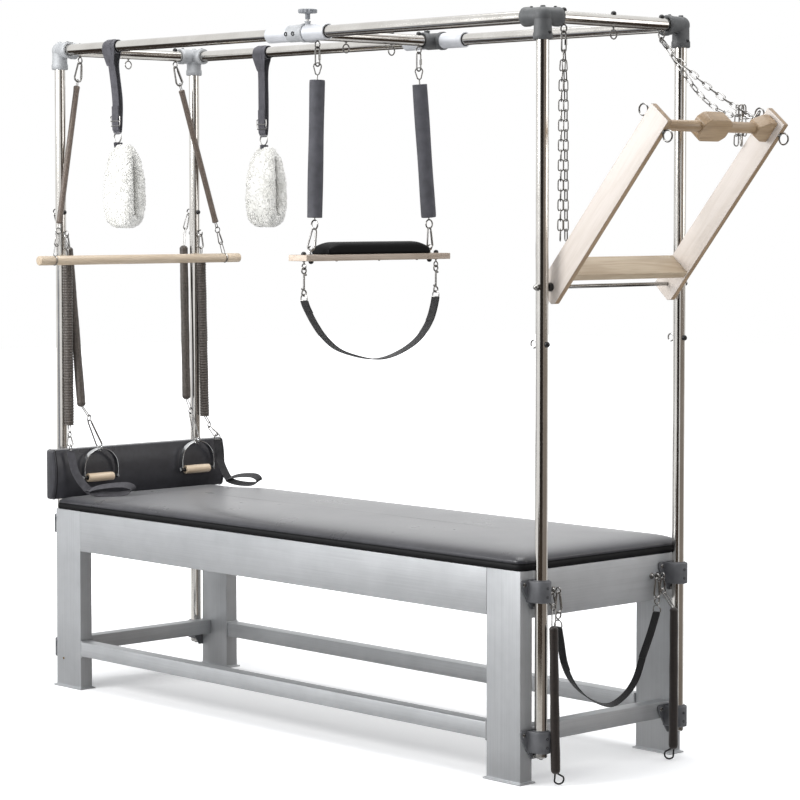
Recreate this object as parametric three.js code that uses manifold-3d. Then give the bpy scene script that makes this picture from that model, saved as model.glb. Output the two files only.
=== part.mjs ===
// Pilates trapeze table: a padded table in a frame of round tubes, with its swing, bars, springs,
// slings and chains. Millimetres, +X towards the push-through bar, +Z up.
import * as THREE from "three";
import { mergeVertices } from "three/addons/utils/BufferGeometryUtils.js";
import Module from "manifold-3d";

const wasm = await Module();
wasm.setup();

// Base
const tableLength = 2290;
const tableWidth = 710;
const tableHeight = 628;
const legWidth = 140;
const legDepth = 50;
const footPlateThickness = 5;
const footPlateOverhang = 8;
const apronDepth = 140;
const apronThickness = 50;
const railSize = 50;
const railBottom = 118;
const collarOverhang = 5;
const collarThickness = 6;
const fitGap = 0.3;
const slideGap = 0.8;
const hangGap = 0.6;

// Upholstery
const mattressOverhang = 3;
const mattressBand = 22;
const mattressThickness = 48;
const mattressDrawIn = 2;
const mattressCornerRadius = 30;
const headboardLength = 758;
const headboardHeight = 166;
const headboardThickness = 52;
const headboardSideShare = 0.78;
const headboardDrawIn = 3;
const headboardCornerRadius = 18;
const headboardSeatDrop = 6;
const outlineCornerShare = 0.6;
const cushionInsetShares = [0, 0, 0.015, 0.06, 0.2, 0.5, 0.85];
const cushionHeightShares = [0, 0, 0.35, 0.65, 0.88, 0.97, 1];

// Posts and top frame
const tubeRadius = 19;
const postStandOff = 33;
const postInset = 53;
const postBottom = 84;
const plugRadius = 16;
const plugHeight = 5;
const bottomBoltRadius = 7;
const bottomBoltHeight = 4;
const topTubeHeight = 2240;
const socketRadius = 27;
const socketReachX = 93;
const socketReachY = 75;
const socketReachDown = 68;
const socketTop = 36;
const tubeStop = 32;
const grubRadius = 5;
const grubHeight = 2;

// Wall brackets that clamp the posts to the base
const upperBracketDrop = 91;
const lowerBracketHeight = 95;
const clampHeight = 66;
const clampRadius = 25;
const bracketPlateThickness = 6;
const bracketPlateWidth = 112;
const bracketPlateTop = 60;
const bracketTipDrop = 22;
const bracketTipWidth = 22;
const screwRadius = 6;
const screwHeight = 2.5;
const screwSpread = 70;

// Eye bolts
const eyeRingRadius = 8;
const eyeWire = 2.4;
const eyeReach = 35;
const eyeShank = 3;
const capRadius = 8.5;
const capHeight = 7;
const endEyeSpread = 214;
const headPostUpperRise = 995;
const headPostLowerRise = 918;
const footPostEye = 1291;

// Sliding cross bar
const crossBarX = 105;
const sleeveRadius = 26;
const sleeveLength = 280;
const teeReach = 62;
const teeBack = 30;
const swingEyeSpread = 223;
const innerEyeSpread = 100;
const knobOffset = 43;
const knobRadius = 30.5;
const knobThickness = 13;
const knobTop = 74;
const knobNeckRadius = 8;
const knobNeckBottom = 42;
const knobStemRadius = 4;
const knobBossRadius = 10;
const knobBossTop = 36;

// Hooks shared by everything that hangs
const linkRadius = 8;
const linkWire = 2.6;
const quickLinkLength = 62;
const hookWire = 3;

// Trapeze swing
const foamRadius = 25;
const foamTop = 110;
const foamBottom = 550;
const foamLean = 24;
const hangerRingRadius = 15;
const hangerRingDrop = 572;
const boardLength = 636;
const boardWidth = 90;
const boardThickness = 20;
const boardDrop = 668;
const boardEyeSpread = 264;
const boardEyeReach = 18;
const padLength = 500;
const padThickness = 40;
const padBandShare = 0.7;
const padCorner = 8;
const swingStrapWidth = 27;
const webbingThickness = 3;
const swingHookDrop = 86;
const swingStrapDrop = 312;

// Push-through bar
const armTop = 648;
const axleRadius = 6;
const axleClearance = 0.6;
const axleOverhang = 14;
const nutRadius = 10;
const spacerRadius = 13;
const armSwingClearance = 135;
const armWidth = 80;
const armThickness = 20;
const armOuterSpread = 265;
const armPivotFromEnd = 40;
const armTilt = 40;
const handleFromEnd = 45;
const handleRadius = 14;
const handleBlockLength = 160;
const handleBlockHeight = 78;
const handleBlockThickness = 44;
const handleBlockTaper = 26;
const handleEndLength = 90;
const handleEndHeight = 70;
const handleEndTaper = 45;
const stepFromAxle = 58;
const stepThickness = 22;
const armEyeFromEnd = 37;
const armEyeRadius = 11;
const armEyeReach = 19;

// Chains
const chainWidth = 26;
const chainThickness = 9;
const nearChainClearance = 135;
const chainSag = 70;
const bunchDrop = 95;
const bunchWidth = 34;

// Roll-down bar
const dowelLength = 914;
const dowelRadius = 16.5;
const dowelGroove = 384;
const dowelGrooveDepth = 2.5;
const dowelGrooveWidth = 14;
const dowelDrop = 702;
const dowelForward = 74;
const rollSpringRadius = 11;
const rollSpringTop = 88;
const rollHookLength = 129;

// Slings
const slingFrontX = -845;
const slingBackX = -783;
const slingWrapWidth = 58;
const slingWrapRadius = 25;
const slingStrapWidth = 36;
const slingStrapGap = 16;
const slingBuckleDrop = 254;
const slingBuckleWidth = 46;
const slingBuckleHeight = 18;
const slingRingDrop = 312;
const slingRingRadius = 17;
const fleeceWidth = 150;
const fleeceHeight = 303;
const fleeceDepth = 90;
const fleeceSlot = 14;
const fleeceForward = 14;

// Leg springs and foot straps
const legSpringRadius = 17;
const legSpringWire = 5;
const legSpringTop = 77;
const legSpringLength = 598;
const legSpringCurls = 24;
const legSpringForward = 3;
const legSpringLean = 4;
const legHookLength = 52;
const legHookForward = 55;
const legHookOutward = 30;
const legRingDrop = 744;
const footStrapWidth = 27;
const footStrapThickness = 3;
const footStrapBend = 68;
const footStrapFrontReach = 225;
const footStrapBackReach = 237;
const footStrapFrontAngle = 37;
const footStrapBackAngle = 0;
const footStrapLoopHeight = 26;
const footStrapLoopRise = 8;
const footRingRadius = 12;

// Arm springs and D-handles
const armSpringRadius = 15.5;
const armSpringTop = 122;
const armSpringLength = 565;
const armSpringInward = 38;
const armHookInwardFront = 100;
const armHookInwardBack = 65;
const armSpringForward = 124;
const armHookDrop = 826;
const handleArchWidth = 146;
const handleArchHeight = 117;
const handleStrapWidth = 16;
const handleStrapThickness = 3;
const gripLength = 110;
const gripRadius = 15;
const gripRodRadius = 5;
const gripClearance = 0.8;

// Foot-end springs and strap
const endEyeDrop = 65;
const endEyeInset = 243;
const endEyeStandOff = 22;
const endSpringRadius = 13.5;
const endSpringTop = 92;
const endSpringFloorGap = 34;
const endSpringOutward = 44;
const endStrapEyeInset = 218;
const endLoopFloorGap = 5;
const endLoopRadius = 12;
const endStrapWidth = 27;
const endStrapDrop = 368;

// Shares and outlines: parts of a piece's own sizes, from its middle or its first end
const springNeckShare = 0.6;
const capSeatShare = 0.9;
const tipScrewShare = 1.5;
const shortLinkShare = 4;
const footStrapKneeShare = 0.4;
const armFootShares = [[-1, 0.575], [0.3, -1.1], [1, -0.75]];
const swingStrapShares = [[0.8, 0.58], [0.45, 0.85]];
const fleeceOutlineShares = [
  [-0.45, 0.9], [-0.85, 0.4], [-1, -0.2], [-0.85, -0.75], [0, -1],
  [0.85, -0.75], [1, -0.2], [0.85, 0.4], [0.45, 0.9], [0, 1],
];
const fleeceSlotShares = [[-1, -0.72], [1, -0.72], [1, 0.45], [0, 0.72], [-1, 0.45]];
const footStrapLoopShares = [
  [0, 0.3, 0], [0.35, 0, 0.1], [0.75, 0, 0.6], [0.97, 0.15, 1],
  [1, 0.5, 1], [0.9, 0.95, 1], [0.5, 1, 0.5], [0.05, 0.7, 0],
];
const handleArchShares = [[-1, 1], [-1, 0.74], [-0.74, 0.4]];
const endStrapShares = [
  [-1, 0.32], [-0.96, 0.4], [-0.88, 0.6], [-0.7, 0.77], [-0.4, 0.91], [0, 1],
  [0.32, 0.95], [0.56, 0.83], [0.72, 0.64], [0.88, 0.44], [0.97, 0.32],
];

// Worked-out places
const halfLength = tableLength / 2;
const halfWidth = tableWidth / 2;
const postX = halfLength + postStandOff;
const postY = halfWidth - postInset;
const boreRadius = tubeRadius + fitGap;
const eyeHeight = topTubeHeight - eyeReach;
const axleHeight = topTubeHeight - armSwingClearance - armTop;
const nearChainDrop = eyeHeight - axleHeight - nearChainClearance;
const rollSpringBottom = dowelDrop - rollHookLength;
const mattressTop = tableHeight + mattressThickness;
const upperBracketHeight = tableHeight - upperBracketDrop;
const headPostUpperEye = mattressTop + headPostUpperRise;
const headPostLowerEye = mattressTop + headPostLowerRise;
const endEyeHeight = tableHeight - endEyeDrop;
const endSpringLength = endEyeHeight - endSpringTop - endSpringFloorGap;
const endLoopDrop = endEyeHeight - endLoopFloorGap;
const quarter = Math.PI / 2;
const half = 0.5;
const twice = 2;
const fullTurn = Math.PI * twice;
const degree = Math.PI / 180;
const shortLinkLength = linkRadius * shortLinkShare;
const ends = [-1, 1];
const endNames = { "-1": "head", 1: "foot" };
const sideNames = { "-1": "front", 1: "back" };

// Numbers of faces round a tube, a small rod, a ring and a wire
const tubeFaces = 10;
const smallFaces = 6;
const roundFaces = 8;
const ringSteps = 8;
const ringSides = 4;
const wireSides = 4;
const coilSides = 5;
const strapSteps = 14;
const strapBendSteps = 6;
const strapLoopSteps = 18;
const handleSteps = 16;
const fleeceSteps = 20;
const chainSteps = 12;
const bunchFromEnd = 4;
const weldDistance = 1e-3;

const V = (x, y, z) => new THREE.Vector3(x, y, z);
const up = V(0, 1, 0);

// A closed geometry as a solid that can be joined and cut
function solid(geometry) {
  const bare = new THREE.BufferGeometry();
  bare.setAttribute("position", geometry.getAttribute("position"));
  bare.setIndex(geometry.index);
  const merged = mergeVertices(bare, weldDistance);
  const index = merged.index.array;
  const kept = [];
  for (let i = 0; i < index.length; i += 3) {
    const [a, b, c] = [index[i], index[i + 1], index[i + 2]];
    if (a !== b && b !== c && c !== a) kept.push(a, b, c);
  }
  const vertProperties = merged.attributes.position.array;
  return new wasm.Manifold(new wasm.Mesh({ numProp: 3, vertProperties, triVerts: new Uint32Array(kept) }));
}

const join = (...pieces) => pieces.flat().reduce((all, piece) => all.add(piece));
const cut = (body, ...tools) => tools.flat().reduce((left, tool) => left.subtract(tool), body);

function box(sx, sy, sz, x, y, z) {
  return solid(new THREE.BoxGeometry(sx, sy, sz).translate(x, y, z));
}

// A box given by its lowest and highest corners
function span(x0, x1, y0, y1, z0, z1) {
  return box(x1 - x0, y1 - y0, z1 - z0, (x0 + x1) * half, (y0 + y1) * half, (z0 + z1) * half);
}

function along(geometry, from, to) {
  const direction = to.clone().sub(from).normalize();
  const turn = new THREE.Quaternion().setFromUnitVectors(up, direction);
  const middle = from.clone().add(to).multiplyScalar(half);
  return geometry.applyQuaternion(turn).translate(middle.x, middle.y, middle.z);
}

function rod(from, to, radius, faces = tubeFaces, endRadius = radius) {
  return solid(along(new THREE.CylinderGeometry(endRadius, radius, from.distanceTo(to), faces), from, to));
}

// A ring round an axis: "x", "y" or "z"
function ring(centre, radius, wire, axis) {
  const torus = new THREE.TorusGeometry(radius, wire, ringSides, ringSteps);
  if (axis === "x") torus.rotateX(quarter).rotateZ(quarter);
  if (axis === "y") torus.rotateX(quarter);
  return solid(torus.translate(centre.x, centre.y, centre.z));
}

// A link is a ring drawn out along Z; the middle of its top wire is the given point
function link(top, length, across = "y") {
  const radius = linkRadius;
  const wire = linkWire;
  const torus = new THREE.TorusGeometry(radius, wire, ringSides, ringSteps);
  const place = torus.getAttribute("position");
  const stretch = Math.max(length - radius * twice, 0) * half;
  for (let i = 0; i < place.count; i += 1) {
    const y = place.getY(i);
    if (Math.abs(y) > weldDistance) place.setY(i, y + Math.sign(y) * stretch);
  }
  torus.rotateX(quarter);
  if (across === "y") torus.rotateZ(quarter);
  return solid(torus.translate(top.x, top.y, top.z - length * half));
}

// A flat band of even thickness along a line in the plane of Y and Z, with its width along X
function band(points, thickness, width, closed = false) {
  const count = points.length;
  const sides = [[], []];
  points.forEach((point, i) => {
    const before = points[closed ? (i + count - 1) % count : Math.max(i - 1, 0)];
    const after = points[closed ? (i + 1) % count : Math.min(i + 1, count - 1)];
    const run = after.clone().sub(before).normalize().multiplyScalar(thickness * half);
    sides[0].push(new THREE.Vector2(point.x - run.y, point.y + run.x));
    sides[1].push(new THREE.Vector2(point.x + run.y, point.y - run.x));
  });
  const options = { depth: width, bevelEnabled: false };
  if (closed) {
    const outer = new THREE.Shape(sides[1]);
    outer.holes.push(new THREE.Path(sides[0]));
    const drawn = new THREE.ExtrudeGeometry(outer, options);
    return solid(drawn.translate(0, 0, -width * half).applyMatrix4(yzPlane));
  }
  const outline = new THREE.Shape([...sides[0], ...sides[1].reverse()]);
  const drawn = new THREE.ExtrudeGeometry(outline, options);
  return solid(drawn.translate(0, 0, -width * half).applyMatrix4(yzPlane));
}

// Turns a drawing's right to +Y, its up to +Z and its depth to +X
const yzPlane = new THREE.Matrix4().makeBasis(V(0, 1, 0), V(0, 0, 1), V(1, 0, 0));

// An outline drawn in Y and Z, with its depth along X from x0 to x1
function plate(points, x0, x1) {
  const shape = new THREE.Shape(points.map(([y, z]) => new THREE.Vector2(y, z)));
  const options = { depth: x1 - x0, bevelEnabled: false };
  return solid(new THREE.ExtrudeGeometry(shape, options).applyMatrix4(yzPlane).translate(x0, 0, 0));
}

const smooth = (points, count, closed = false) => {
  const curve = new THREE.CatmullRomCurve3(points.map(([y, z]) => V(y, z, 0)), closed);
  const spaced = curve.getPoints(count);
  if (closed) spaced.pop();
  return spaced.map((point) => new THREE.Vector2(point.x, point.y));
};

// Rings of points, each as long as the others, skinned into a closed surface with flat end caps
function skin(rings) {
  const count = rings[0].length;
  const places = rings.flat().flatMap((point) => [point.x, point.y, point.z]);
  const faces = [];
  const quad = (a, b, c, d) => faces.push(a, b, c, a, c, d);
  for (let r = 0; r + 1 < rings.length; r += 1) {
    for (let i = 0; i < count; i += 1) {
      const next = (i + 1) % count;
      quad(r * count + i, r * count + next, (r + 1) * count + next, (r + 1) * count + i);
    }
  }
  const centres = [rings[0], rings.at(-1)].map((points) =>
    points.reduce((sum, point) => sum.add(point), V(0, 0, 0)).divideScalar(count),
  );
  centres.forEach((centre) => places.push(centre.x, centre.y, centre.z));
  const lastRing = (rings.length - 1) * count;
  const bottomCentre = rings.length * count;
  const topCentre = bottomCentre + 1;
  for (let i = 0; i < count; i += 1) {
    const next = (i + 1) % count;
    faces.push(bottomCentre, next, i, topCentre, lastRing + i, lastRing + next);
  }
  const geometry = new THREE.BufferGeometry();
  geometry.setAttribute("position", new THREE.Float32BufferAttribute(places, 3));
  geometry.setIndex(faces);
  return geometry;
}

// A rounded rectangle with a little draw-in along its sides, as points in the XY plane
function cushionOutline(halfX, halfY, radius, drawIn, z, perSide) {
  const corner = Math.min(radius, Math.min(halfX, halfY) * outlineCornerShare);
  const perCorner = 2;
  const points = [];
  const corners = [[1, 1], [-1, 1], [-1, -1], [1, -1]];
  corners.forEach(([sx, sy], c) => {
    for (let i = 0; i <= perCorner; i += 1) {
      const angle = c * quarter + (i / perCorner) * quarter;
      const x = sx * (halfX - corner) + corner * Math.cos(angle);
      const y = sy * (halfY - corner) + corner * Math.sin(angle);
      points.push(V(x, y, z));
    }
    const alongX = c % 2 === 0;
    const reach = alongX ? halfX - corner : halfY - corner;
    for (let i = 1; i < perSide; i += 1) {
      const share = i / perSide;
      const pull = drawIn * Math.sin(Math.PI * share);
      const travel = reach - reach * twice * share;
      if (alongX) points.push(V(sx * travel, sy * (halfY - pull), z));
      else points.push(V(sx * (halfX - pull), sy * travel, z));
    }
  });
  return points;
}

// A cushion: straight band, rounded edge and a low crown
function cushion(length, width, band0, height, radius, drawIn, perSide = 7) {
  const crown = height - band0;
    const rings = cushionInsetShares.map((share, i) => {
    const inset = share * Math.min(length, width) * half;
    const z = i === 0 ? 0 : band0 + crown * cushionHeightShares[i];
    return cushionOutline(length * half - inset, width * half - inset, radius, drawIn, z, perSide);
  });
  return skin(rings);
}

// One unbroken tube through points, each ring square to the path
function sweep(path, radius, faces) {
  const rings = path.map((point, i) => {
    const before = path[Math.max(i - 1, 0)];
    const after = path[Math.min(i + 1, path.length - 1)];
    const run = after.clone().sub(before).normalize();
    const outward = V(Math.cos(point.turn ?? 0), Math.sin(point.turn ?? 0), 0);
    const side = run.clone().cross(outward).normalize();
    const lift = side.clone().cross(run).normalize();
    return Array.from({ length: faces }, (_, k) => {
      const angle = (k / faces) * fullTurn;
      return point
        .clone()
        .addScaledVector(lift, radius * Math.cos(angle))
        .addScaledVector(side, radius * Math.sin(angle));
    });
  });
  return skin(rings);
}

// A coil spring down from a point; its wire ends run straight down the axis
function coilSpring(top, bottom, outerRadius, wire, curls) {
  const stepsPerCurl = 8;
  const coilRadius = outerRadius - wire;
  const straight = wire * twice;
  const axis = bottom.clone().sub(top);
  const length = axis.length();
  const lean = new THREE.Quaternion().setFromUnitVectors(V(0, 0, -1), axis.clone().normalize());
  const wound = length - straight * twice;
  const steps = curls * stepsPerCurl;
  const path = [V(0, 0, 0)];
  for (let i = 0; i <= steps; i += 1) {
    const turn = (i / stepsPerCurl) * fullTurn;
    const fromEnd = Math.min(i, steps - i) / stepsPerCurl;
    const reach = coilRadius * Math.min(fromEnd * twice, 1);
    const point = V(reach * Math.cos(turn), reach * Math.sin(turn), -straight - (wound * i) / steps);
    point.turn = turn;
    path.push(point);
  }
  path.push(V(0, 0, -length));
  path[0].turn = 0;
  path.at(-1).turn = path.at(-2).turn;
  const least = leastGap(path, wire, stepsPerCurl);
  console.log("least gap of the coil to itself " + least.toFixed(2) + " mm");
  return solid(sweep(path, wire, coilSides).applyQuaternion(lean).translate(top.x, top.y, top.z));
}

// The least distance between the surfaces of curls that aren't neighbours along the wire
function leastGap(path, wire, stepsPerCurl) {
  let least = Infinity;
  path.forEach((point, i) => {
    for (let k = i + stepsPerCurl - 2; k < Math.min(path.length, i + 2 * stepsPerCurl); k += 1) {
      least = Math.min(least, point.distanceTo(path[k]) - wire * twice);
    }
  });
  return least;
}

// A smooth covered spring: a capsule with short necks, between two points
function coveredSpring(top, bottom, radius) {
  const axis = bottom.clone().sub(top);
  const length = axis.length();
  const neck = radius * springNeckShare;
  const shoulder = length - radius;
  const profile = [[0, 0], [neck, 0], [radius, radius], [radius, shoulder], [neck, length], [0, length]];
  const lathe = new THREE.LatheGeometry(profile.map(([r, y]) => new THREE.Vector2(r, y)), roundFaces);
  const turn = new THREE.Quaternion().setFromUnitVectors(up, axis.clone().normalize().negate());
  return solid(lathe.applyQuaternion(turn).translate(bottom.x, bottom.y, bottom.z));
}

// How far below an eye's middle the wire of a link that hangs in it lies
const eyeSeat = eyeRingRadius - eyeWire - linkWire - hangGap;
const hung = V(0, 0, -eyeSeat);

// An eye bolt through a tube: ring, shank and cap nut, along a unit direction
function eyeBolt(axisPoint, direction, reach = eyeReach, radius = eyeRingRadius, inside = tubeRadius) {
  const centre = axisPoint.clone().addScaledVector(direction, reach);
  const neck = axisPoint.clone().addScaledVector(direction, reach - radius);
  const capStart = axisPoint.clone().addScaledVector(direction, -inside * capSeatShare);
  const capEnd = axisPoint.clone().addScaledVector(direction, -inside - capHeight);
  return [
    ring(centre, radius, eyeWire, "y"),
    rod(axisPoint.clone(), neck, eyeShank, wireSides),
    rod(capStart, capEnd, capRadius, smallFaces),
  ];
}

// Finishes
function finish(color, roughness, metalness) {
  return new THREE.MeshStandardMaterial({ color, roughness, metalness });
}
const maple = finish(0xd9c4a5, 0.45, 0);
const vinyl = finish(0x3a393d, 0.55, 0);
const aluminium = finish(0xc6c9cb, 0.3, 1);
const steel = finish(0xb8b9ba, 0.25, 1);
const casting = finish(0x9a9c9e, 0.5, 0.6);
const springCover = finish(0x4a433d, 0.6, 0);
const foam = finish(0x3e3d42, 0.9, 0);
const fleeceCloth = finish(0xf2f2ee, 0.95, 0);
const strapCloth = finish(0x45444a, 0.8, 0);
const blackPlastic = finish(0x161616, 0.5, 0);

const table = new THREE.Group();

function group(x, y, z, parent = table) {
  const made = new THREE.Group();
  made.position.set(x, y, z);
  parent.add(made);
  return made;
}

function mesh(name, body, material, parent = table) {
  const made = body.getMesh();
  const geometry = new THREE.BufferGeometry();
  geometry.setAttribute("position", new THREE.BufferAttribute(made.vertProperties, 3));
  geometry.setIndex(new THREE.BufferAttribute(made.triVerts, 1));
  geometry.computeVertexNormals();
  const piece = new THREE.Mesh(geometry, material);
  piece.name = name;
  parent.add(piece);
  return piece;
}

// End frames: two legs with foot plates, the end apron and the lower rail, joined
for (const end of ends) {
  const base = group(end * (halfLength - legWidth * half), 0, 0);
  const outer = end * legWidth * half;
  const legs = ends.flatMap((side) => {
    const y = side * (halfWidth - legDepth * half);
    const plateTop = footPlateThickness;
    const plateX = legWidth + footPlateOverhang * twice;
    const plateY = legDepth + footPlateOverhang * twice;
    return [
      box(legWidth, legDepth, tableHeight - plateTop * half, 0, y, (tableHeight + plateTop * half) * half),
      box(plateX, plateY, plateTop, 0, y, plateTop * half),
    ];
  });
  const inner = halfWidth - legDepth * half;
  const apronX = outer - end * apronThickness * half;
  const apronEyes = end < 0 ? [] : ends.flatMap((side) => [endEyeInset, endStrapEyeInset].flatMap((inset) => {
    const eye = V(outer + endEyeStandOff, side * inset, endEyeHeight);
    const neck = V(outer + endEyeStandOff - eyeRingRadius, side * inset, endEyeHeight);
    return [
      ring(eye, eyeRingRadius, eyeWire, "y"),
      rod(V(apronX, side * inset, endEyeHeight), neck, eyeShank, wireSides),
    ];
  }));
  const railX = outer - end * railSize * half;
  mesh(
    "end_frame_" + endNames[end],
    join(
      legs,
      box(apronThickness, inner * twice, apronDepth, apronX, 0, tableHeight - apronDepth * half),
      box(railSize, inner * twice, railSize, railX, 0, railBottom + railSize * half),
      apronEyes,
    ),
    aluminium,
    base,
  );
}

// Side aprons and side stretchers between the legs
for (const side of ends) {
  const run = tableLength - legWidth * twice - fitGap * twice;
  const rail = group(0, side * halfWidth, 0);
  mesh(
    "side_apron_" + sideNames[side],
    box(run, apronThickness, apronDepth, 0, -side * apronThickness * half, tableHeight - apronDepth * half),
    aluminium,
    rail,
  );
  const collars = ends.map((end) => {
    const x = end * (run - collarThickness) * half;
    const size = railSize + collarOverhang * twice;
    const y = -side * (railSize * half + collarOverhang);
    const z = railBottom + railSize * half;
    return box(collarThickness, size, size, x, y + side * collarOverhang, z);
  });
  mesh(
    "side_stretcher_" + sideNames[side],
    join(box(run, railSize, railSize, 0, -side * railSize * half, railBottom + railSize * half), collars),
    aluminium,
    rail,
  );
}

// Mattress and headboard
mesh(
  "mattress",
  solid(
    cushion(
      tableLength + mattressOverhang * twice,
      tableWidth + mattressOverhang * twice,
      mattressBand,
      mattressThickness,
      mattressCornerRadius,
      mattressDrawIn,
    ),
  ),
  vinyl,
  group(0, 0, tableHeight + fitGap),
);
const headboardBack = -postX + tubeRadius * Math.cos(Math.PI / tubeFaces) + fitGap;
mesh(
  "headboard",
  solid(
    cushion(
      headboardHeight,
      headboardLength,
      headboardThickness * headboardSideShare,
      headboardThickness,
      headboardCornerRadius,
      headboardDrawIn,
      4,
    ).rotateY(quarter),
  ),
  vinyl,
  group(headboardBack, 0, mattressTop - headboardSeatDrop + headboardHeight * half + fitGap),
);

// Posts with their eye bolts, bottom plugs and lower wall brackets
function bracket(end, height, bored) {
  const plateStart = end * (halfLength + fitGap);
  const plateEnd = end * (halfLength + bracketPlateThickness);
  const [x0, x1] = [plateStart, plateEnd].sort((a, b) => a - b);
  const top = height + bracketPlateTop;
  const tip = height - bracketTipDrop;
  const wide = bracketPlateWidth * half;
  const narrow = bracketTipWidth * half;
  const face = plate([[-wide, top], [-narrow, tip], [narrow, tip], [wide, top]], x0, x1);
  const wallX = end * halfLength + end * bracketPlateThickness * half;
  const neckFront = Math.min(wallX, end * postX);
  const neckBack = Math.max(wallX, end * postX);
  const neck = span(neckFront, neckBack, -clampRadius, clampRadius, height, height + clampHeight);
  const axisAt = (z) => V(end * postX, 0, z);
  const sleeve = rod(axisAt(height), axisAt(height + clampHeight), clampRadius + fitGap);
  const screwZ = top - screwRadius * twice;
  const screws = [[-screwSpread * half, screwZ], [screwSpread * half, screwZ]].map(
    ([y, z]) => rod(V(wallX, y, z), V(plateEnd + end * screwHeight, y, z), screwRadius, smallFaces),
  );
  const lowScrew = rod(
    V(wallX, 0, tip + screwRadius * tipScrewShare),
    V(plateEnd + end * screwHeight, 0, tip + screwRadius * tipScrewShare),
    screwRadius,
    smallFaces,
  );
  const body = join(face, neck, sleeve, screws, lowScrew);
  if (!bored) return body;
  return cut(body, rod(axisAt(height - tableHeight), axisAt(height + tableHeight), boreRadius));
}

for (const end of ends) {
  for (const side of ends) {
    const names = sideNames[side] + "_" + endNames[end];
    const place = group(0, side * postY, 0);
    const axis = V(end * postX, 0, 0);
    const at = (z) => axis.clone().setZ(z);
    const pieces = [
      rod(at(postBottom), at(topTubeHeight - tubeStop), tubeRadius),
      rod(at(postBottom - plugHeight), at(postBottom + plugHeight), plugRadius),
      rod(at(postBottom - plugHeight - bottomBoltHeight), at(postBottom), bottomBoltRadius, smallFaces),
      bracket(end, lowerBracketHeight, false),
    ];
    if (end < 0) {
      pieces.push(eyeBolt(at(headPostUpperEye), V(-1, 0, 0)), eyeBolt(at(headPostLowerEye), V(1, 0, 0)));
    } else {
      pieces.push(eyeBolt(at(footPostEye), V(-1, 0, 0)));
    }
    let post = join(...pieces);
    if (end > 0) {
      const hole = axleRadius + axleClearance;
      post = cut(post, rod(V(postX, -clampRadius, axleHeight), V(postX, clampRadius, axleHeight), hole));
    }
    mesh("post_" + names, post, aluminium, place);
    mesh("upper_bracket_" + names, bracket(end, upperBracketHeight, true), casting, place);
  }
}

// Corner fittings: three sockets that meet in a rounded corner
for (const end of ends) {
  for (const side of ends) {
    const corner = group(end * postX, side * postY, topTubeHeight);
    const inwardX = V(-end * socketReachX, 0, 0);
    const inwardY = V(0, -side * socketReachY, 0);
    const down = V(0, 0, -socketReachDown);
    const core = new THREE.SphereGeometry(socketTop, roundFaces, ringSides).rotateX(quarter);
    const stop = (to) => to.clone().setLength(tubeStop - fitGap);
    const grubs = [
      rod(V(0, 0, socketRadius), V(0, 0, socketTop + grubHeight), grubRadius, smallFaces),
    ];
    const outer = join(
      rod(V(0, 0, 0), inwardX, socketRadius),
      rod(V(0, 0, 0), inwardY, socketRadius),
      rod(V(0, 0, 0), down, socketRadius),
      solid(core),
      grubs,
    );
    const bores = [inwardX, inwardY, down].map((to) => {
      return rod(stop(to), to.clone().multiplyScalar(twice), boreRadius);
    });
    mesh("corner_fitting_" + sideNames[side] + "_" + endNames[end], cut(outer, bores), casting, corner);
  }
}

// Long top tubes
for (const side of ends) {
  const reach = postX - tubeStop;
  mesh(
    "top_tube_" + sideNames[side],
    rod(V(-reach, 0, 0), V(reach, 0, 0), tubeRadius),
    aluminium,
    group(0, side * postY, topTubeHeight),
  );
}

// Top cross tubes, each with three eye bolts
for (const end of ends) {
  const reach = postY - tubeStop;
  const bolts = [-endEyeSpread, 0, endEyeSpread].map((y) => eyeBolt(V(0, y, 0), V(0, 0, -1)));
  mesh(
    "cross_tube_" + endNames[end],
    join(rod(V(0, -reach, 0), V(0, reach, 0), tubeRadius), ...bolts),
    aluminium,
    group(end * postX, 0, topTubeHeight),
  );
}

// Sliding cross bar: two carriages on the long tubes, a bar between them, two clamp knobs
const slider = group(crossBarX, 0, topTubeHeight);
const barEnd = postY - sleeveRadius - fitGap;
const barEyes = [-swingEyeSpread, -innerEyeSpread, innerEyeSpread, swingEyeSpread];
mesh(
  "cross_bar",
  join(
    rod(V(0, -barEnd, 0), V(0, barEnd, 0), tubeRadius),
    ...barEyes.map((y) => eyeBolt(V(0, y, 0), V(0, 0, -1))),
  ),
  aluminium,
  slider,
);
for (const side of ends) {
  const place = group(0, side * postY, 0, slider);
  const knobX = -side * knobOffset;
  const inner = -side * teeReach;
  const body = join(
    rod(V(-sleeveLength * half, 0, 0), V(sleeveLength * half, 0, 0), sleeveRadius),
    rod(V(0, 0, 0), V(0, inner, 0), socketRadius + slideGap),
    rod(V(-teeBack, 0, 0), V(teeBack, 0, 0), socketRadius + slideGap),
    rod(V(knobX, 0, tubeRadius), V(knobX, 0, knobBossTop), knobBossRadius, smallFaces),
  );
  const bores = [
    rod(V(-sleeveLength, 0, 0), V(sleeveLength, 0, 0), tubeRadius + slideGap),
    rod(V(0, -side * (sleeveRadius - fitGap), 0), V(0, inner * twice, 0), boreRadius),
    rod(V(knobX, 0, 0), V(knobX, 0, knobTop), knobStemRadius + slideGap, smallFaces),
  ];
  mesh("carriage_" + sideNames[side], cut(body, bores), aluminium, place);
  const knobCentre = group(knobX, 0, 0, place);
  mesh(
    "knob_" + sideNames[side],
    join(
      rod(V(0, 0, knobTop - knobThickness), V(0, 0, knobTop), knobRadius),
      rod(V(0, 0, knobNeckBottom), V(0, 0, knobTop - knobThickness * half), knobNeckRadius, smallFaces),
      rod(V(0, 0, tubeRadius + fitGap), V(0, 0, knobTop - knobThickness * half), knobStemRadius, smallFaces),
    ),
    blackPlastic,
    knobCentre,
  );
}

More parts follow.
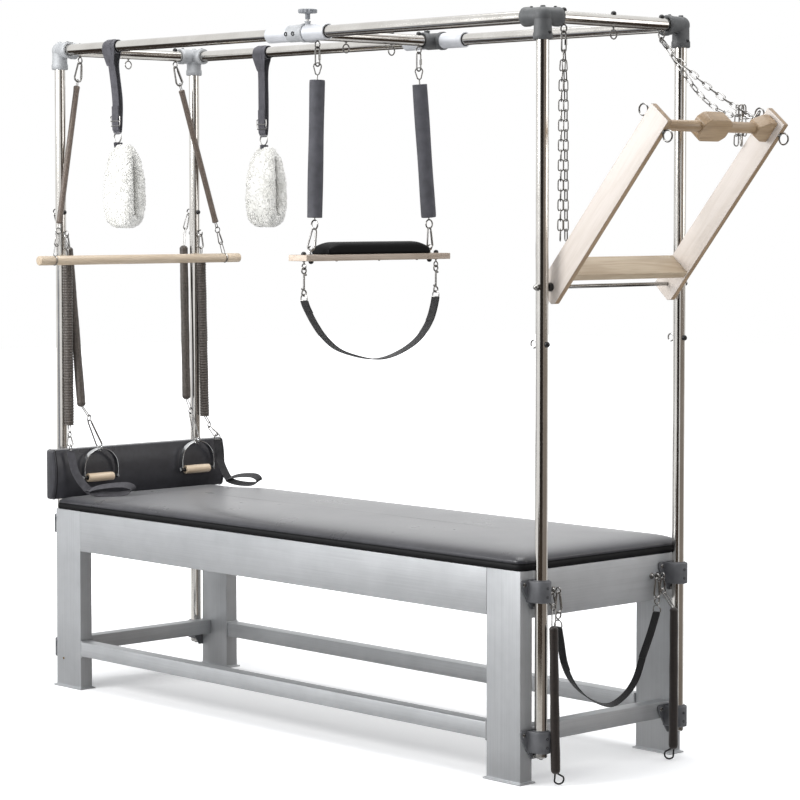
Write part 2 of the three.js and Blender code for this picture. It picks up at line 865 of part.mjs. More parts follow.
// Trapeze swing: foam-covered hangers, board, pad and the webbing strap below it
const swing = group(0, 0, -eyeReach, slider);
for (const side of ends) {
  const hanger = group(0, side * swingEyeSpread, 0, swing);
  const lean = side * foamLean;
  const leanAt = (drop) => (side * foamLean * (drop - foamTop)) / (foamBottom - foamTop);
  const foamTopPoint = V(0, 0, -foamTop);
  const foamBottomPoint = V(0, lean, -foamBottom);
  const ringCentre = V(0, leanAt(hangerRingDrop), -hangerRingDrop);
  const boardEye = V(0, side * (boardEyeSpread - swingEyeSpread), -boardDrop + boardEyeReach);
  const hookStart = V(ringCentre.x, ringCentre.y, ringCentre.z - hangerRingRadius);
  const boardLink = V(0, boardEye.y, boardEye.z + eyeSeat + quickLinkLength * half);
  mesh(
    "swing_hanger_" + sideNames[side],
    join(
      link(hung, quickLinkLength),
      rod(V(0, 0, -quickLinkLength), V(0, 0, -foamTop - foamRadius), hookWire, wireSides),
      rod(foamTopPoint, foamBottomPoint, foamRadius, tubeFaces),
      rod(foamBottomPoint, V(0, ringCentre.y, ringCentre.z + hangerRingRadius), hookWire, wireSides),
      ring(ringCentre, hangerRingRadius, hookWire, "x"),
      rod(hookStart, boardLink, hookWire, wireSides),
      link(boardLink, quickLinkLength * half),
    ),
    foam,
    hanger,
  );
}
const boardTop = -boardDrop;
const boardBottom = boardTop - boardThickness;
const boardEyes = ends.flatMap((side) => {
  const y = side * boardEyeSpread;
  return [
    ring(V(0, y, boardTop + boardEyeReach), eyeRingRadius, eyeWire, "y"),
    rod(V(0, y, boardBottom), V(0, y, boardTop + boardEyeReach - eyeRingRadius), eyeShank, wireSides),
    ring(V(0, y, boardBottom - boardEyeReach), eyeRingRadius, eyeWire, "y"),
    rod(V(0, y, boardTop), V(0, y, boardBottom - boardEyeReach + eyeRingRadius), eyeShank, wireSides),
  ];
});
const padBody = cushion(boardWidth, padLength, padThickness * padBandShare, padThickness, padCorner, 0, 2);
mesh(
  "swing_board",
  join(
    box(boardWidth, boardLength, boardThickness, 0, 0, boardTop - boardThickness * half),
    boardEyes,
    solid(padBody.translate(0, 0, boardTop - fitGap)),
  ),
  maple,
  swing,
);
const underEyes = group(0, 0, boardBottom - boardEyeReach, swing);
const strapEnds = boardEyeSpread;
function swingStrapSide(side) {
  return swingStrapShares.map(([y, z]) => [side * strapEnds * y, -swingStrapDrop * z]);
}
const swingStrapLine = smooth(
  [
    [-strapEnds, -swingHookDrop],
    ...swingStrapSide(-1),
    [0, -swingStrapDrop + webbingThickness],
    ...swingStrapSide(1).reverse(),
    [strapEnds, -swingHookDrop],
  ],
  strapSteps,
);
mesh(
  "swing_strap",
  join(
    band(swingStrapLine, webbingThickness, swingStrapWidth),
    ends.flatMap((side) => [
      link(V(0, side * boardEyeSpread, -eyeSeat), swingHookDrop * half),
      rod(
        V(0, side * boardEyeSpread, -swingHookDrop * half),
        V(0, side * boardEyeSpread, -swingHookDrop - webbingThickness),
        hookWire,
        wireSides,
      ),
    ]),
  ),
  strapCloth,
  underEyes,
);

// Push-through bar: the axle rod in the foot posts, two arms, a handle and a step board
const axle = group(postX, 0, axleHeight);
const axleEnd = postY + tubeRadius + axleOverhang;
mesh(
  "pivot_rod",
  join(
    rod(V(0, -axleEnd, 0), V(0, axleEnd, 0), axleRadius),
    ends.map((side) => {
      const from = side * (postY + tubeRadius + fitGap);
      return rod(V(0, from, 0), V(0, side * axleEnd, 0), nutRadius, smallFaces);
    }),
    ends.map((side) => {
      const from = side * (armOuterSpread + fitGap);
      return rod(V(0, from, 0), V(0, side * (postY - tubeRadius - fitGap), 0), spacerRadius, roundFaces);
    }),
  ),
  steel,
  axle,
);
const pushBar = group(0, 0, 0, axle);
pushBar.rotation.y = armTilt * degree;
const armInner = armOuterSpread - armThickness;
const armSide = armWidth * half;
const armFoot = armFootShares.map(([x, z]) => [x * armSide, z * armPivotFromEnd]);
const armOutline = [[armSide, armTop], [-armSide, armTop], ...armFoot].map(([x, z]) => [-x, z]).reverse();
for (const side of ends) {
  const middle = side * (armOuterSpread - armThickness * half);
  const ringHeight = armTop - armEyeFromEnd;
  const eyes = ends.flatMap((edge) => {
    const x = edge * (armWidth * half + armEyeReach);
    return [
      ring(V(x, middle, ringHeight), armEyeRadius, eyeWire, "y"),
      rod(V(0, middle, ringHeight), V(x - edge * armEyeRadius, middle, ringHeight), eyeShank, wireSides),
    ];
  });
  const board = plate(armOutline, -armThickness * half, armThickness * half).rotate([0, 0, 90]);
  const hole = rod(V(0, 0, 0), V(0, side * armOuterSpread * twice, 0), axleRadius + axleClearance);
  const arm = join(board.translate([0, middle, 0]), eyes);
  mesh("push_arm_" + sideNames[side], cut(arm, hole), maple, pushBar);
}
const handleReach = armInner - fitGap;
const handleHeight = armTop - handleFromEnd;
const blockHalf = handleBlockLength * half;
const octagon = (tall, run, taper) => [
  [-run, -tall + taper], [-run + taper, -tall], [run - taper, -tall], [run, -tall + taper],
  [run, tall - taper], [run - taper, tall], [-run + taper, tall], [-run, tall - taper],
];
const blockHigh = handleBlockHeight * half;
const blockDeep = handleBlockThickness * half;
const endBlocks = ends.map((side) => {
  const tipY = side * handleReach;
  const wideY = side * (handleReach - handleEndLength + handleEndTaper);
  const slimY = side * (handleReach - handleEndLength);
  const tall = handleEndHeight * half;
  const points = [
    [tipY, -tall], [wideY, -tall], [slimY, -handleRadius],
    [slimY, handleRadius], [wideY, tall], [tipY, tall],
  ];
  const outline = side > 0 ? points.reverse() : points;
  return plate(outline, -blockDeep, blockDeep);
});
const handleShape = join(
  rod(V(0, -handleReach, 0), V(0, handleReach, 0), handleRadius, tubeFaces),
  plate(octagon(blockHigh, blockHalf, handleBlockTaper), -blockDeep, blockDeep),
  endBlocks,
);
mesh("push_handle", handleShape, maple, group(0, 0, handleHeight, pushBar));
mesh(
  "step_board",
  box(armWidth, handleReach * twice, stepThickness, 0, 0, stepFromAxle + stepThickness * half),
  maple,
  pushBar,
);

// Safety chains: one hangs from the front eye, one runs to the push-through bar
const footEyes = group(postX, 0, topTubeHeight - eyeReach);
const chainFall = nearChainDrop - quickLinkLength;
mesh(
  "chain_front",
  join(
    link(hung, quickLinkLength),
    box(chainThickness, chainWidth, chainFall, 0, 0, -(nearChainDrop + quickLinkLength) * half),
  ),
  steel,
  group(0, -endEyeSpread, 0, footEyes),
);
const armMiddle = armOuterSpread - armThickness * half;
const armEye = V(-(armWidth * half + armEyeReach), armMiddle, armTop - armEyeFromEnd);
armEye.applyEuler(new THREE.Euler(0, armTilt * degree, 0));
const chainEnd = V(armEye.x, armEye.y - endEyeSpread, armEye.z + axleHeight - topTubeHeight + eyeReach);
const clearOfRing = armEyeRadius + chainThickness;
const chainStop = chainEnd.clone().setLength(chainEnd.length() - clearOfRing);
const slungChain = Array.from({ length: chainSteps + 1 }, (_, i) => {
  const share = i / chainSteps;
  const sag = chainSag * Math.sin(share * Math.PI);
  return V(0, 0, -quickLinkLength * half).lerp(chainStop, share).add(V(0, 0, -sag));
});
const bunchTop = slungChain.at(-bunchFromEnd);
mesh(
  "chain_back",
  join(
    link(hung, quickLinkLength * half),
    solid(sweep(slungChain, chainThickness, smallFaces)),
    rod(bunchTop, bunchTop.clone().add(V(0, 0, -bunchDrop)), bunchWidth * half, smallFaces, chainThickness),
  ),
  steel,
  group(0, endEyeSpread, 0, footEyes),
);

// Roll-down bar: grooved dowel on two thin springs
const headEyes = group(-postX, 0, topTubeHeight - eyeReach);
const dowelEnd = dowelLength * half;
const grooveHalf = dowelGrooveWidth * half;
const dowelProfile = [
  [0, -dowelEnd], [dowelRadius, -dowelEnd], [dowelRadius, -dowelGroove - grooveHalf],
  [dowelRadius - dowelGrooveDepth, -dowelGroove], [dowelRadius, -dowelGroove + grooveHalf],
  [dowelRadius, dowelGroove - grooveHalf], [dowelRadius - dowelGrooveDepth, dowelGroove],
  [dowelRadius, dowelGroove + grooveHalf], [dowelRadius, dowelEnd], [0, dowelEnd],
].map(([r, y]) => new THREE.Vector2(r, y));
mesh(
  "roll_down_dowel",
  solid(new THREE.LatheGeometry(dowelProfile, tubeFaces)),
  maple,
  group(dowelForward, 0, -dowelDrop, headEyes),
);
for (const side of ends) {
  const forwardAt = (drop) => (dowelForward * drop) / dowelDrop;
  const outAt = (drop) => (side * (dowelGroove - endEyeSpread) * drop) / dowelDrop;
  const at = (drop) => V(forwardAt(drop), outAt(drop), -drop);
  const loopRadius = (dowelRadius - dowelGrooveDepth + fitGap) / Math.cos(Math.PI / ringSteps) + eyeWire;
  const loopDrop = dowelDrop - loopRadius * twice;
  mesh(
    "roll_down_spring_" + sideNames[side],
    join(
      link(hung, quickLinkLength),
      rod(V(0, 0, -quickLinkLength), at(rollSpringTop + rollSpringRadius), hookWire, wireSides),
      coveredSpring(at(rollSpringTop), at(rollSpringBottom), rollSpringRadius),
      rod(at(rollSpringBottom - rollSpringRadius), at(loopDrop), hookWire, wireSides),
      ring(at(dowelDrop), loopRadius, eyeWire, "y"),
      rod(at(loopDrop), at(dowelDrop).add(V(0, 0, loopRadius)), hookWire, wireSides),
    ),
    springCover,
    group(0, side * endEyeSpread, 0, headEyes),
  );
}

// Slings: a webbing strap round each long tube and a fleece loop below it
for (const side of ends) {
  const x = side < 0 ? slingFrontX : slingBackX;
  const doubled = webbingThickness * twice;
  const place = group(x, side * postY, topTubeHeight);
  const wrap = cut(
    rod(V(-slingWrapWidth * half, 0, 0), V(slingWrapWidth * half, 0, 0), slingWrapRadius),
    rod(V(-slingWrapWidth, 0, 0), V(slingWrapWidth, 0, 0), tubeRadius + slideGap),
  );
  const strapSide = slingStrapGap * half;
  const strand = (y) => span(
    -slingStrapWidth * half, slingStrapWidth * half, y - webbingThickness * half, y + webbingThickness * half,
    -slingRingDrop + slingRingRadius * half, -tubeRadius - slideGap - webbingThickness * half,
  );
  mesh(
    "sling_strap_" + sideNames[side],
    join(
      wrap,
      strand(-strapSide),
      strand(strapSide),
      box(slingStrapWidth, slingStrapGap, doubled, 0, 0, -slingRingDrop + slingRingRadius * half),
      box(slingBuckleWidth, doubled, slingBuckleHeight, 0, -strapSide - webbingThickness, -slingBuckleDrop),
      ring(V(0, 0, -slingRingDrop), slingRingRadius, hookWire, "y"),
    ),
    strapCloth,
    place,
  );
  const wide = fleeceDepth * half;
  const tall = fleeceHeight * half;
  const outline = smooth(fleeceOutlineShares.map(([y, z]) => [y * wide, z * tall]), fleeceSteps, true);
  const slot = fleeceSlot * half;
  const gap = fleeceSlotShares.map(([y, z]) => [y * slot, z * tall]);
  const loop = plate(outline.map((point) => [point.x, point.y]), -fleeceWidth * half, fleeceWidth * half);
  mesh(
    "sling_fleece_" + sideNames[side],
    cut(loop, plate(gap, -fleeceWidth, fleeceWidth)),
    fleeceCloth,
    group(fleeceForward, 0, -slingRingDrop - slingRingRadius - hookWire - fitGap - tall, place),
  );
}

// Leg springs on the lower head eyes, each with its foot strap
for (const side of ends) {
  const place = group(-postX + eyeReach, side * postY, headPostLowerEye);
  const springTop = V(legSpringForward, 0, -legSpringTop);
  const wireTop = -legSpringTop - legSpringWire;
  const springBottom = V(legSpringForward + legSpringLean, 0, -legSpringTop - legSpringLength);
  const strapPoint = V(legHookForward, side * legHookOutward, -legRingDrop);
  const strapLink = strapPoint.clone().setZ(strapPoint.z + legHookLength * half);
  mesh(
    "leg_spring_" + sideNames[side],
    join(
      link(hung, legHookLength),
      rod(V(0, 0, -legHookLength), springTop.clone().setZ(wireTop), hookWire, wireSides),
      coilSpring(springTop, springBottom, legSpringRadius, legSpringWire, legSpringCurls),
      rod(springBottom, strapLink, hookWire, wireSides),
      link(strapLink, legHookLength * half, "x"),
    ),
    springCover,
    place,
  );
  const reach = side < 0 ? footStrapFrontReach : footStrapBackReach;
  const turn = side < 0 ? footStrapFrontAngle : footStrapBackAngle;
  const floor = mattressTop + footStrapThickness - headPostLowerEye + legRingDrop;
  const ringDrop = footRingRadius - hookWire - linkWire - hangGap;
  const ringBottom = -ringDrop - footRingRadius;
  const line = smooth(
    [
      [0, ringBottom],
      [footStrapBend * footStrapKneeShare, (ringBottom + floor) * half],
      [footStrapBend, floor + footStrapLoopHeight * half],
    ],
    strapBendSteps,
  );
  const loopRun = reach - footStrapBend;
  const loopPoints = footStrapLoopShares.map(([alongShare, heightShare, riseShare]) => [
    footStrapBend - footStrapThickness + loopRun * alongShare,
    floor + footStrapLoopHeight * heightShare + footStrapLoopRise * riseShare,
  ]);
  const loop = smooth(loopPoints, strapLoopSteps, true);
  const strap = join(
    band(line, footStrapThickness * twice, footStrapWidth),
    band(loop, footStrapThickness, footStrapWidth, true),
    ring(V(0, 0, -ringDrop), footRingRadius, hookWire, "y"),
  );
  const strapPlace = group(strapPoint.x, strapPoint.y, strapPoint.z, place);
  strapPlace.rotation.z = -quarter + turn * degree;
  mesh("foot_strap_" + sideNames[side], strap, strapCloth, strapPlace);
}

// Arm springs on the upper head eyes, each with its D-handle and grip
for (const side of ends) {
  const place = group(-postX - eyeReach, side * postY, headPostUpperEye);
  const hookInward = side < 0 ? armHookInwardFront : armHookInwardBack;
  const at = (drop) => {
    const x = (armSpringForward * drop) / armHookDrop;
    const share = Math.max(drop - armSpringTop, 0) / (armHookDrop - armSpringTop);
    return V(x, -side * (armSpringInward + (hookInward - armSpringInward) * share), -drop);
  };
  const bottom = at(armHookDrop);
  const lowLink = bottom.clone().setZ(bottom.z + legHookLength);
  const springEnd = armSpringTop + armSpringLength;
  const topLink = legHookLength * half;
  mesh(
    "arm_spring_" + sideNames[side],
    join(
      link(hung, topLink),
      rod(V(0, 0, -topLink), at(armSpringTop), hookWire, wireSides),
      coveredSpring(at(armSpringTop), at(springEnd), armSpringRadius),
      rod(at(springEnd - armSpringRadius), lowLink, hookWire, wireSides),
      link(lowLink, legHookLength),
    ),
    springCover,
    place,
  );
  const arch = group(bottom.x, bottom.y, bottom.z, place);
  const across = handleArchWidth * half;
  const low = -handleArchHeight;
  const ringHeight = hookWire + linkWire + hangGap - linkRadius;
  const ringLow = ringHeight - linkRadius;
  const archSide = (side) => handleArchShares.map(([y, z]) => [side * across * y, low * z]);
  const strapLine = smooth([...archSide(1), [0, ringLow], ...archSide(-1).reverse()], handleSteps);
  const rodHeight = low + gripRodRadius;
  const rodEnd = across + handleStrapThickness;
  mesh(
    "d_handle_" + sideNames[side],
    join(
      band(strapLine, handleStrapThickness, handleStrapWidth),
      rod(V(0, -rodEnd, rodHeight), V(0, rodEnd, rodHeight), gripRodRadius, smallFaces),
      ring(V(0, 0, ringHeight), linkRadius, hookWire, "y"),
    ),
    steel,
    arch,
  );
  const grip = cut(
    rod(V(0, -gripLength * half, 0), V(0, gripLength * half, 0), gripRadius, roundFaces),
    rod(V(0, -gripLength, 0), V(0, gripLength, 0), gripRodRadius + gripClearance, smallFaces),
  );
  mesh("hand_grip_" + sideNames[side], grip, maple, group(0, 0, rodHeight, arch));
}

// Foot end: two springs and a webbing strap on eyes in the end apron
const endEyes = group(halfLength + endEyeStandOff, 0, endEyeHeight);
for (const side of ends) {
  const springX = endSpringOutward;
  const springY = side * endSpringRadius;
  const springStart = V(springX, springY, -endSpringTop);
  const springEnd = V(springX, springY, -endSpringTop - endSpringLength);
  mesh(
    "end_spring_" + sideNames[side],
    join(
      link(hung, shortLinkLength),
      rod(V(0, 0, -shortLinkLength), springStart, hookWire, wireSides),
      coveredSpring(springStart, springEnd, endSpringRadius),
      ring(V(springX, springY, -endLoopDrop + endLoopRadius), endLoopRadius, hookWire, "x"),
      rod(springEnd, V(springX, springY, -endLoopDrop + endLoopRadius * twice), hookWire, wireSides),
    ),
    springCover,
    group(0, side * endEyeInset, 0, endEyes),
  );
}
const endStrapPoints = endStrapShares.map(([y, z]) => [y * endStrapEyeInset, -z * endStrapDrop]);
const endStrapLine = smooth(endStrapPoints, strapSteps);
mesh(
  "end_strap",
  join(
    band(endStrapLine, webbingThickness, endStrapWidth),
    ends.flatMap((side) => {
      const eye = V(0, side * endStrapEyeInset, -eyeSeat);
      const hook = eye.clone().setZ(-shortLinkLength);
      const tip = side < 0 ? endStrapLine[0] : endStrapLine.at(-1);
      const wire = rod(hook, V(0, tip.x, tip.y - webbingThickness), hookWire, wireSides);
      return [link(eye, shortLinkLength), wire];
    }),
  ),
  strapCloth,
  endEyes,
);

// The whole table stands on its foot plates, centred over its outer box
table.updateMatrixWorld(true);
const outerBox = new THREE.Box3().setFromObject(table, true);
const centre = outerBox.getCenter(V(0, 0, 0));
table.position.set(-centre.x, -centre.y, -outerBox.min.z);
const root = new THREE.Group();
root.add(table);

export default root;
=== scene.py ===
# Pilates trapeze table: a padded table in a frame of polished tubes, with a swing, a push-through bar,
# springs, slings and chains. Sizes are in millimetres from the middle of the four posts on the floor.
import bpy
import numpy as np
from math import radians
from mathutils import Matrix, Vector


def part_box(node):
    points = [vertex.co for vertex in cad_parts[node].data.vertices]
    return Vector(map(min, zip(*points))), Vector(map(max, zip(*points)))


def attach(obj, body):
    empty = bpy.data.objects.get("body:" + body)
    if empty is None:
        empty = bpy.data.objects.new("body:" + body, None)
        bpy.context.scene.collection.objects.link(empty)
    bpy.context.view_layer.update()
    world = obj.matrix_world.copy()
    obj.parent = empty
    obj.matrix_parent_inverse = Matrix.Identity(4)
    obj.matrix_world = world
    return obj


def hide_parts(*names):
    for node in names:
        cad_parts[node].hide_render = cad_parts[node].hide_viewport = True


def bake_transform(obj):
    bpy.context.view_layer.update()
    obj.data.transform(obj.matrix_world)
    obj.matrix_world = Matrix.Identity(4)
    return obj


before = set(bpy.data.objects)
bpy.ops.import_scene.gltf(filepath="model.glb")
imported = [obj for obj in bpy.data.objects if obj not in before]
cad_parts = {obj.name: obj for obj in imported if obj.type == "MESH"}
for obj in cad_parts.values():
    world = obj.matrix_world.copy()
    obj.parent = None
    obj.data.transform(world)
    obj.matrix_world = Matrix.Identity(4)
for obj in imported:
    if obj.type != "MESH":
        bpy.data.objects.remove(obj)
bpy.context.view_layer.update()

# Camera, studio and floor
# A long lens a little above the middle of the table looks from its foot end along its front. The room is
# white with a dim patch beyond the foot end, and cards that only gloss sees give the polished tubes their
# dark cores.
tube_low, tube_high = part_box("top_tube_front")
middle_x = (tube_low.x + tube_high.x) / 2
pi = np.pi
X, Y, Z = np.eye(3)


def metres(points):
    """Millimetres from the middle of the four posts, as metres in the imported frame."""
    return np.asarray(points, float) / 1000 + [middle_x, 0, 0]


def placed(name, data):
    """A new object of the scene."""
    made = bpy.data.objects.new(name, data)
    bpy.context.scene.collection.objects.link(made)
    return made


camera = placed("camera", bpy.data.cameras.new("camera"))
camera.location = metres([6601.6, -5943.2, 1686.8])
camera.rotation_euler = (radians(90 - 3.025), 0, radians(46.891))
camera.data.sensor_width = 36
camera.data.lens = 121.31
camera.data.shift_y = -0.0621
camera.data.clip_end = 100
bpy.context.scene.camera = camera


def shade(colour):
    """An sRGB hex colour as linear red, green, blue and alpha."""
    parts = np.array([int(colour[i:i + 2], 16) for i in (1, 3, 5)]) / 255
    linear = np.where(parts <= 0.04045, parts / 12.92, ((parts + 0.055) / 1.055) ** 2.4)
    return (*linear.tolist(), 1.0)


def add(tree, kind, inputs, out=0, **settings):
    """Adds a shader node, sets what it is told, links or sets its inputs, and returns one of its outputs."""
    made = tree.nodes.new("ShaderNode" + kind)
    for name, value in settings.items():
        setattr(made, name, value)
    for name, value in inputs.items():
        socket = made.inputs[name]
        if isinstance(value, bpy.types.NodeSocket):
            tree.links.new(value, socket)
        else:
            socket.default_value = value
    return made.outputs[out] if len(made.outputs) else None


def mix(tree, factor, first, second):
    """Two colours mixed by a factor. Each is a hex colour or the output of a node."""
    first, second = (shade(c) if isinstance(c, str) else c for c in (first, second))
    return add(tree, "Mix", {0: factor, 6: first, 7: second}, 2, data_type="RGBA")


def ramp(tree, value, start=0.0, finish=1.0, low=0.0, high=1.0, kind="LINEAR"):
    """A value that runs from low to high as another runs from start to finish."""
    return add(tree, "MapRange", {"Value": value, "From Min": start, "From Max": finish, "To Min": low,
                                  "To Max": high}, interpolation_type=kind)


def maths(tree, operation, *values):
    """One operation on up to three values."""
    return add(tree, "Math", dict(enumerate(values)), operation=operation)


def emptied(holder):
    """The node tree of a world or material, switched on and emptied."""
    holder.use_nodes = True
    holder.node_tree.nodes.clear()
    return holder.node_tree


studio = bpy.data.worlds.new("studio")
bpy.context.scene.world = studio
sky = emptied(studio)
way = add(sky, "TexCoord", {}, "Generated")
beyond_foot = add(sky, "VectorMath", {0: way, 1: (0.951, 0.309, 0.0)}, "Value", operation="DOT_PRODUCT")
dim = ramp(sky, beyond_foot, 0.60, 0.80, kind="SMOOTHSTEP")
level = add(sky, "SeparateXYZ", {"Vector": way}, 2)
under = ramp(sky, level, -0.14, -0.30, kind="SMOOTHSTEP")
deep = ramp(sky, level, -0.76, -0.62, kind="SMOOTHSTEP")
walls = mix(sky, dim, "#FFFFFF", "#8C837B")
room = mix(sky, maths(sky, "MULTIPLY", under, deep), walls, "#3A322C")
rays = add(sky, "LightPath", {}).node.outputs
seen = maths(sky, "MAXIMUM", rays["Is Camera Ray"], rays["Is Transmission Ray"])
soft = add(sky, "Background", {"Color": shade("#F4F6FA"), "Strength": 0.62})
mirrored = add(sky, "Background", {"Color": room, "Strength": 1.0})
white = add(sky, "Background", {"Color": (1, 1, 1, 1), "Strength": 1.0})
glossy = add(sky, "MixShader", {0: rays["Is Glossy Ray"], 1: soft, 2: mirrored})
add(sky, "OutputWorld", {"Surface": add(sky, "MixShader", {0: seen, 1: glossy, 2: white})})


def soft_box(name, place, target, size, power):
    """A square area lamp that faces a target."""
    lamp = bpy.data.lights.new(name, "AREA")
    lamp.size = size
    lamp.energy = power
    box = placed(name, lamp)
    box.location = metres(place)
    aim = box.location - Vector(metres(target))
    box.rotation_euler = aim.to_track_quat("Z", "Y").to_euler()


soft_box("key_lamp", [-1500, -5200, 3600], [0, 0, 1000], 3.2, 255)
soft_box("top_lamp", [300, 300, 5200], [0, 0, 600], 3.6, 150)
soft_box("fill_lamp", [4600, 2600, 2600], [0, 0, 1100], 2.4, 40)


def flat_face(name, corners, paint):
    """A piece of the stage: one flat face in one paint."""
    mesh = bpy.data.meshes.new(name)
    mesh.from_pydata(metres(corners).tolist(), [], [[0, 1, 2, 3]])
    mesh.materials.append(paint)
    return placed(name, mesh)


floor_paint = bpy.data.materials.new("white_studio_floor")
ground = emptied(floor_paint)
on_camera = add(ground, "LightPath", {}, "Is Camera Ray")
spot = add(ground, "TexCoord", {}, "Object")
far = add(ground, "VectorMath", {0: spot, 1: (middle_x, 0, 0)}, "Value", operation="DISTANCE")
lift = maths(ground, "MULTIPLY", on_camera, ramp(ground, far, 1.9, 3.4, 0.27, 1.0, "SMOOTHSTEP"))
matt = add(ground, "BsdfDiffuse", {"Color": shade("#F6F6F6")})
glow = add(ground, "Emission", {"Color": (1, 1, 1, 1), "Strength": lift})
add(ground, "OutputMaterial", {"Surface": add(ground, "AddShader", {0: matt, 1: glow})})
floor_half = 20000
floor_corners = floor_half * np.array([[-1, -1, 0], [1, -1, 0], [1, 1, 0], [-1, 1, 0]])
floor = flat_face("floor", floor_corners, floor_paint)
floor.visible_glossy = False


def studio_card(name, start, end, low, high, foot, middle, head):
    """An upright card that only gloss sees: three tones up its height, which change near 0.1 m and 0.65 m."""
    paint = bpy.data.materials.new(name)
    tree = emptied(paint)
    height = add(tree, "SeparateXYZ", {"Vector": add(tree, "TexCoord", {}, "Object")}, 2)
    below = mix(tree, ramp(tree, height, -0.02, 0.12), foot, middle)
    tone = mix(tree, ramp(tree, height, 0.5, 0.8), below, head)
    add(tree, "OutputMaterial", {"Surface": add(tree, "Emission", {"Color": tone})})
    card = flat_face(name, [[*start, low], [*end, low], [*end, high], [*start, high]], paint)
    card.visible_camera = card.visible_diffuse = card.visible_shadow = card.visible_transmission = False


studio_card("dark_card", (1390, -1790), (2540, -940), -60, 3200, "#E6E0D8", "#3E352D", "#2C2825")
studio_card("left_card", (-3500, -1800), (-2450, -1800), -60, 640, "#55555A", "#46464A", "#46464A")
studio_card("low_card", (640, -1790), (1390, -1790), -60, 640, "#E6E0D8", "#453B32", "#3A322B")
studio_card("grey_card", (-2300, -1800), (-850, -1800), 650, 1500, "#8E919A", "#8E919A", "#989BA2")
bpy.context.scene.view_settings.view_transform = "Standard"

# Base: end frames, side aprons and side stretchers
# Box tubes of brushed aluminium, 140 x 50 mm in the legs and aprons and 50 mm square below, are welded into
# two end frames. The side rails butt against the legs, and thin foot plates close the legs.
both_sides = ((-1, "front"), (1, "back"))
both_ends = ((-1, "head"), (1, "foot"))


def unit(vectors):
    """Vectors made one long."""
    vectors = np.asarray(vectors, float)
    return vectors / np.linalg.norm(vectors, axis=-1, keepdims=True)


def skin(points, ends=True, loop=False):
    """Quads over a grid of points in rows and columns, the last column joined to the first. loop joins the
    last row to the first, and ends closes both rows. The UV is the distance round and along, in metres."""
    rows, cols = points.shape[:2]
    r, c = np.meshgrid(np.arange(rows if loop else rows - 1), np.arange(cols), indexing="ij")
    corner_r = np.stack([r, r, r + 1, r + 1], -1).reshape(-1, 4)
    corner_c = np.stack([c, c + 1, c + 1, c], -1).reshape(-1, 4)
    quads = (corner_r % rows) * cols + corner_c % cols
    longer = np.concatenate([points, points[:1]])
    wider = np.concatenate([points, points[:, :1]], 1)
    along = np.append(0, np.cumsum(np.linalg.norm(np.diff(longer, axis=0), axis=2).mean(1)))
    around = np.append(0, np.cumsum(np.linalg.norm(np.diff(wider, axis=1), axis=2).mean(0)))
    uv = np.stack([around[corner_c], along[corner_r]], -1) / 1000
    caps = []
    if ends and not loop:
        caps = [list(range(cols))[::-1], list(range((rows - 1) * cols, rows * cols))]
    flat = points.reshape(-1, 3)
    if ends or loop:
        a, b, d, e = (flat[quads[:, i]] for i in range(4))
        middle = flat.mean(0)
        across = np.cross(b - middle, d - middle) + np.cross(d - middle, e - middle)
        volume = np.einsum("ij,ij", a - middle, across)
        if volume < 0:
            quads, uv = quads[:, ::-1], uv[:, ::-1]
            caps = [cap[::-1] for cap in caps]
    return flat, quads, uv, caps


def piece(name, skins, material, body, *nodes, sharp=32):
    """One Blender object from several skins, smooth but for edges sharper than an angle. It rides on a CAD
    body, unless that is None, stands for CAD nodes, and takes the slot that its material names."""
    start = np.cumsum([0] + [len(s[0]) for s in skins])
    verts = metres(np.concatenate([s[0] for s in skins]))
    faces, uvs = [], []
    for first, (flat, quads, uv, caps) in zip(start, skins):
        faces += (quads + first).tolist() + [[int(first) + i for i in cap] for cap in caps]
        uvs += [uv.reshape(-1, 2)] + [np.zeros((len(cap), 2)) for cap in caps]
    mesh = bpy.data.meshes.new(name)
    mesh.from_pydata(verts.tolist(), [], faces)
    mesh.uv_layers.new(name="cloth_metres").data.foreach_set("uv", np.concatenate(uvs).ravel())
    mesh.polygons.foreach_set("use_smooth", np.ones(len(faces), bool))
    mesh.set_sharp_from_angle(angle=radians(sharp))
    mesh.materials.append(material)
    made = placed(name, mesh)
    if body:
        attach(made, body)
    if nodes:
        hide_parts(*nodes)
    return made


def rounded(corners, radius, steps=5):
    """An outline whose corners are short parabolas that start a radius before each corner."""
    corners = np.asarray(corners, float)
    before, after = unit(np.roll(corners, 1, 0) - corners), unit(np.roll(corners, -1, 0) - corners)
    t = np.linspace(0, 1, steps)[None, :, None]
    first, last = corners + before * radius, corners + after * radius
    curve = first[:, None] * (1 - t) ** 2 + 2 * corners[:, None] * t * (1 - t) + last[:, None] * t ** 2
    return curve.reshape(-1, 2)


def slab(outline, low, high, edge, origin, across, upward, rim=4):
    """An outline drawn on two directions from an origin, thick along their cross product from low to high.
    Its rims are quarter circles: the outline goes in by edge(1 - sin a) as it rises by edge(1 - cos a)."""
    outline = np.asarray(outline, float)
    before, after = unit(outline - np.roll(outline, 1, 0)), unit(np.roll(outline, -1, 0) - outline)
    right = np.stack([before[:, 1] + after[:, 1], -before[:, 0] - after[:, 0]], 1)
    mitre = right / np.maximum(1 + (before * after).sum(1), 0.3)[:, None]
    turn = np.linspace(0, pi / 2, rim)
    inset, rise = edge * (1 - np.sin(turn)), edge * (1 - np.cos(turn))
    inset = np.append(inset, inset[::-1])
    height = np.append(low + rise, (high - rise)[::-1])
    flat = outline[None] - mitre[None] * inset[:, None, None]
    across, upward = np.asarray(across, float), np.asarray(upward, float)
    thick = np.cross(across, upward)
    grid = origin + flat[..., :1] * across + flat[..., 1:] * upward + height[:, None, None] * thick
    return skin(grid)


